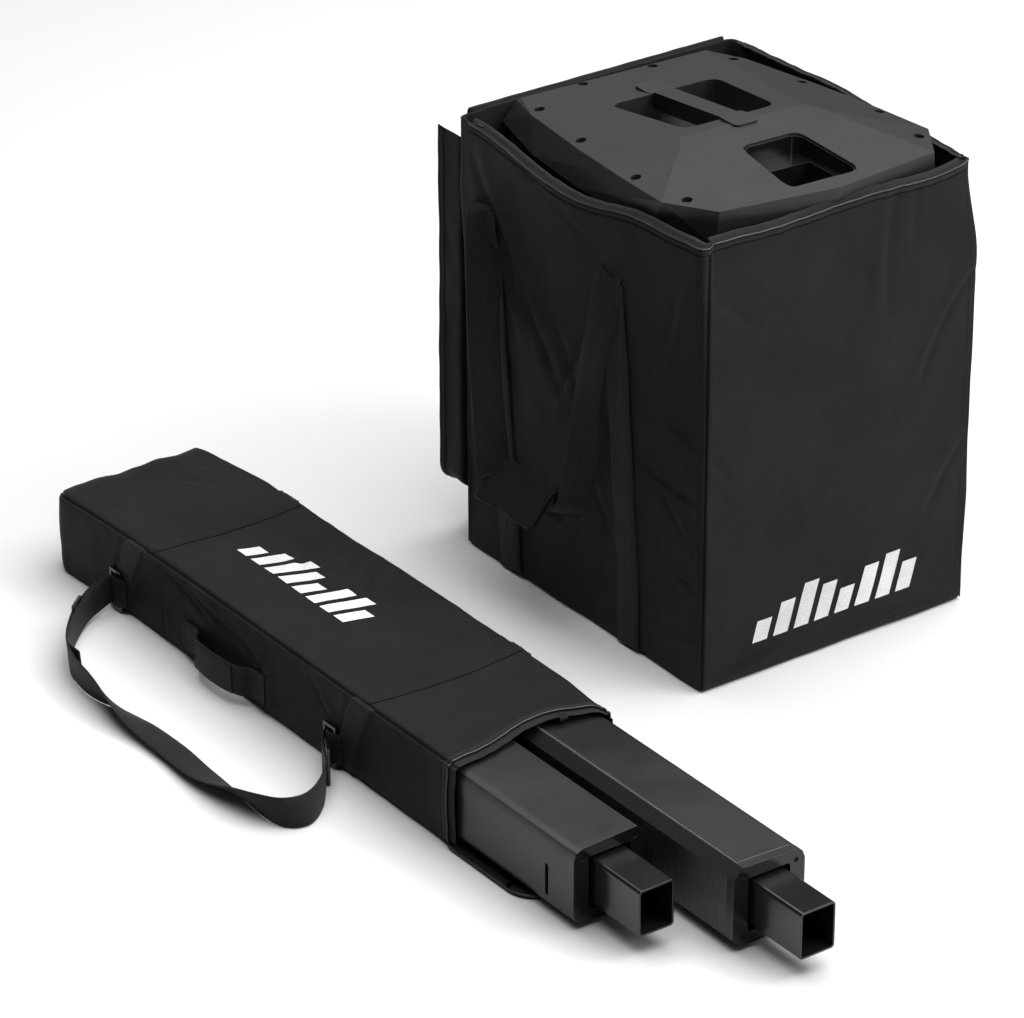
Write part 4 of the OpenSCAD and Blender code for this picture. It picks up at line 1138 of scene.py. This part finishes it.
hem = np.transpose(np.array(hem), (1, 0, 2))[not_floor]
grid("mouth_hem", hem, nylon_trim, "long_bag", u=ls[not_floor])

# Seams along the top edges and across the top
tops = np.linspace(mouth_y + 14, far_y - 12, 260)
for word, cx in (("left", -1), ("right", 1)):
    k = int(np.argmin(np.linalg.norm(lp - [cx * (long_w / 2 - 7.5), long_h], axis=1)))
    line = np.array([long_row(y, -0.25)[k] for y in tops])
    stitches("top_edge_stitches_" + word, line, 4.6, (3.2, 0.75), thread_mat, "long_bag")
for word, cx in (("left", -1), ("right", 1)):
    k = int(np.argmin(np.linalg.norm(lp - [cx * (long_w / 2 - 2.6), long_h - 2.6], axis=1)))
    line = np.array([long_row(y, -0.1)[k] for y in tops])
    tube("top_edge_seam_" + word, line, 0.95, seam_mat, "long_bag", 6)
top_ids = [k for k in range(len(lp)) if lp[k][1] > long_h - 4 and abs(lp[k][0]) < long_w / 2 - 3]
for word, centre_y in (("near", near_seam), ("far", far_seam)):
    bowed = centre_y + seam_bow(lp[:, 0] + long_x)
    tube("cross_seam_" + word, long_row(bowed, -0.5)[top_ids], 0.85, seam_mat, "long_bag", 6)
    for off in (5.5, 38):
        y = centre_y + off + seam_bow(lp[:, 0] + long_x)
        row = "cross_stitches_%s_%d" % (word, off)
        stitches(row, long_row(y, -0.3)[top_ids], 4.6, (3.2, 0.75), thread_mat, "long_bag")

# Webbing bands on both sides, leaning to meet the cross seams
side_ids = {side: [k for k in range(len(lp)) if side * ln[k][0] > 0.6 and lp[k][1] > 3] for side in (-1, 1)}
BAND_LEAN = 0.30
band_bow = 8 * (lp[:, 1] / long_h) ** 3
for word, base_y in (("near", -130.0), ("far", 331.0)):
    for side in (-1, 1):
        ids = side_ids[side]
        strip = []
        for w in np.linspace(-1, 1, 12):
            y = base_y + w * 19.5 - BAND_LEAN * lp[:, 1] - band_bow
            strip.append(long_row(y, -(1.5 if abs(w) < 0.99 else 0.1))[ids])
        row = "band_%s_%s" % (word, "left" if side < 0 else "right")
        band = grid(row, np.transpose(np.array(strip), (1, 0, 2)), strap_mat, "long_bag")
        if (word, side) == ("near", -1):
            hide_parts("long_bag_bands")
        for edge in (-1, 1):
            y = base_y + edge * 16.5 - BAND_LEAN * lp[:, 1] - band_bow
            row = "band_stitches_%s_%d_%d" % (word, side, edge)
            stitches(row, long_row(y, -1.75)[ids], 5, (3.4, 0.75), thread_mat, "long_bag")

# The end flap, open on the floor under the columns
fl_lo, fl_hi = (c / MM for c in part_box("long_bag_flap"))
flap_w, flap_l = (fl_hi.x - fl_lo.x) / 2, fl_hi.y - fl_lo.y


def flap_ring(inset, z, lift=0.0):
    """A ring of the flap, moved in by inset, whose free edge curls up by lift."""
    w, l = flap_w - inset, flap_l - inset
    r = 36 - inset * 0.4
    pts = [[-w, 0]] + [[-w, -l + r + (l - r) * t] for t in np.linspace(1, 0, 12)][1:]
    pts += [[-w + r + r * math.cos(g), -l + r + r * math.sin(g)]
            for g in np.linspace(math.pi, 1.5 * math.pi, 12)]
    pts += [[-w + r + (2 * w - 2 * r) * t, -l] for t in np.linspace(0, 1, 24)][1:-1]
    pts += [[w - r + r * math.cos(g), -l + r + r * math.sin(g)]
            for g in np.linspace(1.5 * math.pi, 2 * math.pi, 12)]
    pts += [[w, -l + r + (l - r) * t] for t in np.linspace(0, 1, 12)][1:]
    p = np.array(pts)
    curl = lift * (0.5 + ripple(p[:, 0] / 30, p[:, 1] / 30, 121)) * step(-p[:, 1], 10, 60)
    return np.column_stack([p[:, 0] + long_x, p[:, 1] + fl_hi.y, np.full(len(p), z) + curl])


# Inset, height and lift of the flap's rings, from its top round the edge to its underside
FLAP = ((60, 1.9, 0), (30, 1.9, 0.3), (12, 2.2, 0.6), (9, 3.0, 1.2), (3, 4.6, 2), (0.4, 4.2, 2),
        (0, 2.0, 0.4), (1, 0.2, 0), (30, 0.2, 0), (60, 0.2, 0))
flap_rows = [flap_ring(*row) for row in FLAP]
flap = grid("end_flap", np.transpose(np.array(flap_rows), (1, 0, 2)), nylon_inside, "long_bag")
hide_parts("long_bag_flap")
tube("flap_zip_coil", flap_ring(-0.2, 3.4, 1.2), 1.4, coil_mat, "long_bag")

# The grab handle with its two sewn patches
left_x = long_lo.x
def wall(y, z):
    """X of the left side's surface at depth y and height z."""
    return left_x - float(side_out(np.array([y]), np.array([z]), HANDLE_SIDE)[0]) - 0.2


def patch_point(i, j, y, z):
    """A point of a grab patch: its edge is sunk into the side, the rest stands off it."""
    inner = 0 < i < 9 and 0 < j < 9
    return [wall(y, z) - 1.5 if inner else wall(y, z) + 0.3, y, z]


# The sewn square of a patch with its two diagonals, as shares of its width and height
PATCH_SEAMS = (((0, 0), (1, 0)), ((1, 0), (1, 1)), ((1, 1), (0, 1)), ((0, 1), (0, 0)),
               ((0, 0), (1, 1)), ((0, 1), (1, 0)))
for k, (y0, y1) in enumerate(((6, 50), (154, 196))):
    patch = [[patch_point(i, j, y, z) for j, z in enumerate(np.linspace(14.5, 52.5, 10))]
             for i, y in enumerate(np.linspace(y0, y1, 10))]
    piece = grid("grab_patch_%d" % k, patch, strap_mat, "long_bag", u=np.linspace(0, y1 - y0, 10))
    lo, hi = np.array([y0 + 4, 18.0]), np.array([y1 - 4, 49.0])
    for m, (a, b2) in enumerate(PATCH_SEAMS):
        ends = [lo + (hi - lo) * a, lo + (hi - lo) * b2]
        places = [ends[0] + (ends[1] - ends[0]) * t for t in np.linspace(0, 1, 12)]
        line = [[wall(*q) - 1.8, *q] for q in places]
        stitches("patch_stitches_%d_%d" % (k, m), line, 3.6, (2.6, 0.8), thread_mat, "long_bag")
grab = [[wall(20, 33) - 2.4, 20, 33.5], [wall(44, 33) - 3, 44, 33.5], [left_x - 12, 54, 33],
        [left_x - 16, 62, 33], [left_x - 17.5, 80, 32], [left_x - 18.5, 104, 31.5],
        [left_x - 18, 128, 32], [left_x - 17, 142, 33], [left_x - 11, 150, 33.5],
        [wall(158, 33) - 3, 157, 33.5], [wall(182, 33) - 2.4, 182, 33.5]]
handle = ribbon("grab_strap", grab, [[0, 0, 1]] * 11, 37, 2.2, strap_mat, "long_bag", 90)
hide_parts("long_bag_grab_handle")
outer = [[left_x - 18.6, 66, 32.6], [left_x - 20.2, 84, 31.6], [left_x - 21, 104, 31.2],
         [left_x - 20.4, 124, 31.8], [left_x - 19, 139, 32.8]]
double = ribbon("grab_strap_double", outer, [[0, 0, 1]] * 5, 36, 2.0, strap_mat, "long_bag", 50)

# The shoulder strap: stands on its edge and leans out along its middle
route = [[-617, -96, 24], [-626, -106, 22], [-634, -118, 20], [-652, -150, 19.5], [-680, -182, 19.4],
         [-710, -200, 19.4], [-734, -192, 19.4], [-746, -164, 18.6], [-750, -124, 15], [-751, -88, 10],
         [-751, -44, 7], [-748, 6, 6], [-749, 52, 8], [-752, 92, 12], [-754, 132, 17],
         [-755, 168, 19.4], [-751, 206, 19.8], [-738, 244, 20.2], [-706, 285, 21], [-668, 318, 23],
         [-640, 331, 26], [-622, 337, 28]]
tilt = [[0, 0, 1], [0, 0, 1], [0, 0, 1], [0.05, 0, 1], [0.02, 0.1, 1], [0, 0.2, 1], [-0.1, 0.1, 1],
        [-0.35, 0, 1], [-0.9, 0, 1], [-1.9, 0, 1], [-4, 0, 1], [-6, 0, 1], [-4, 0, 1], [-1.8, 0, 1],
        [-0.7, 0, 1], [-0.2, 0, 1], [-0.1, 0, 1], [0.0, 0.12, 1], [0.1, 0.15, 1], [0.08, 0.05, 1],
        [0, 0, 1], [0, 0, 1]]
sling = ribbon("shoulder_webbing", route, tilt, 37.5, 2.0, strap_mat, "long_bag", 190)
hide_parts("shoulder_strap")
lap_line = [[-741, 212, 21], [-738.5, 243, 21.4], [-706.6, 288.4, 22], [-669, 321.2, 24], [-645, 332.6, 26]]
lap_tilt = [[-0.1, 0, 1], [-0.05, 0.1, 1], [0.1, 0.15, 1], [0.08, 0.05, 1], [0, 0, 1]]
lap = ribbon("shoulder_webbing_lap", lap_line, lap_tilt, 37, 1.8, strap_mat, "long_bag", 60)
for k, y in enumerate((-112, 330)):
    folded = [[left_x - 2.2, y - 20, 28], [left_x - 3.2, y - 8, 28], [left_x - 5.6, y + 3, 28],
              [left_x - 8.4, y + 2, 28], [left_x - 7.6, y - 8, 28], [left_x - 4.4, y - 19, 28]]
    tab = ribbon("ring_tab_%d" % k, folded, [[0, 0, 1]] * 6, 38, 1.6, strap_mat, "long_bag", 40)

# ------------------------------------------------------------------ printed level-meter marks


ACROSS, UP = 5, 14  # points across and up each bar
SLANT = 0.28
BAR_GAP = 9


def bars(name, widths, heights, material, body, surface):
    """A row of slanted bars printed on the cloth, each a thin sheet that follows the surface."""
    verts, faces, uvs = [], [], []
    at = 0.0
    for w, h in zip(widths, heights):
        base = len(verts)
        for i in range(ACROSS):
            for j in range(UP):
                a = at + w * i / (ACROSS - 1) + SLANT * h * j / (UP - 1)
                c = h * j / (UP - 1)
                verts.append(surface(a, c))
                uvs.append((a * MM, c * MM))
        for i in range(ACROSS - 1):
            for j in range(UP - 1):
                q = base + i * UP + j
                faces.append([q, q + UP, q + UP + 1, q + 1])
        at += w + BAR_GAP
    return make(name, np.array(verts) * MM, faces, material, body, uvs=[uvs[i] for f in faces for i in f])


def on_front(a, c):
    """The point of the bag's front that is a across and c up in the print."""
    x, z = -122 + a, 44 + c
    return [x, -bag_d / 2 - float(front_out(np.array([x]), np.array([z]))[0]) - 0.35, z]


def on_top(a, c):
    """The same on the long bag's top, read from its far end."""
    y, x = 206 - a, long_x - 24 + c
    q = long_row(np.full(len(lp), y), -0.5)
    ids = np.where(ln[:, 1] > 0.99)[0]
    order = np.argsort(q[ids, 0])
    return [x, y, float(np.interp(x, q[ids[order], 0], q[ids[order], 2]))]


meter = [26, 40, 54, 44, 30, 48, 54, 36]
bars("front_meter_print", [21] * 8, meter, print_mat, "sub_bag", on_front)
bars("top_meter_print", [19] * 8, meter, print_mat, "long_bag", on_top)

# ------------------------------------------------------------------ floor and finish

bpy.ops.mesh.primitive_plane_add(size=24)
floor = bpy.context.object
floor.name = "floor"
floor_mat, floor_tree, floor_shader = start("pale_floor", 0.9, 0.1)
drift = ramp(floor_tree, noise(floor_tree, place(floor_tree, False), 2), 0.3, 0.7, 0.995, 1.005)
colour(floor_tree, floor_shader, (0.52, 0.52, 0.52), drift)
floor.data.materials.append(floor_mat)
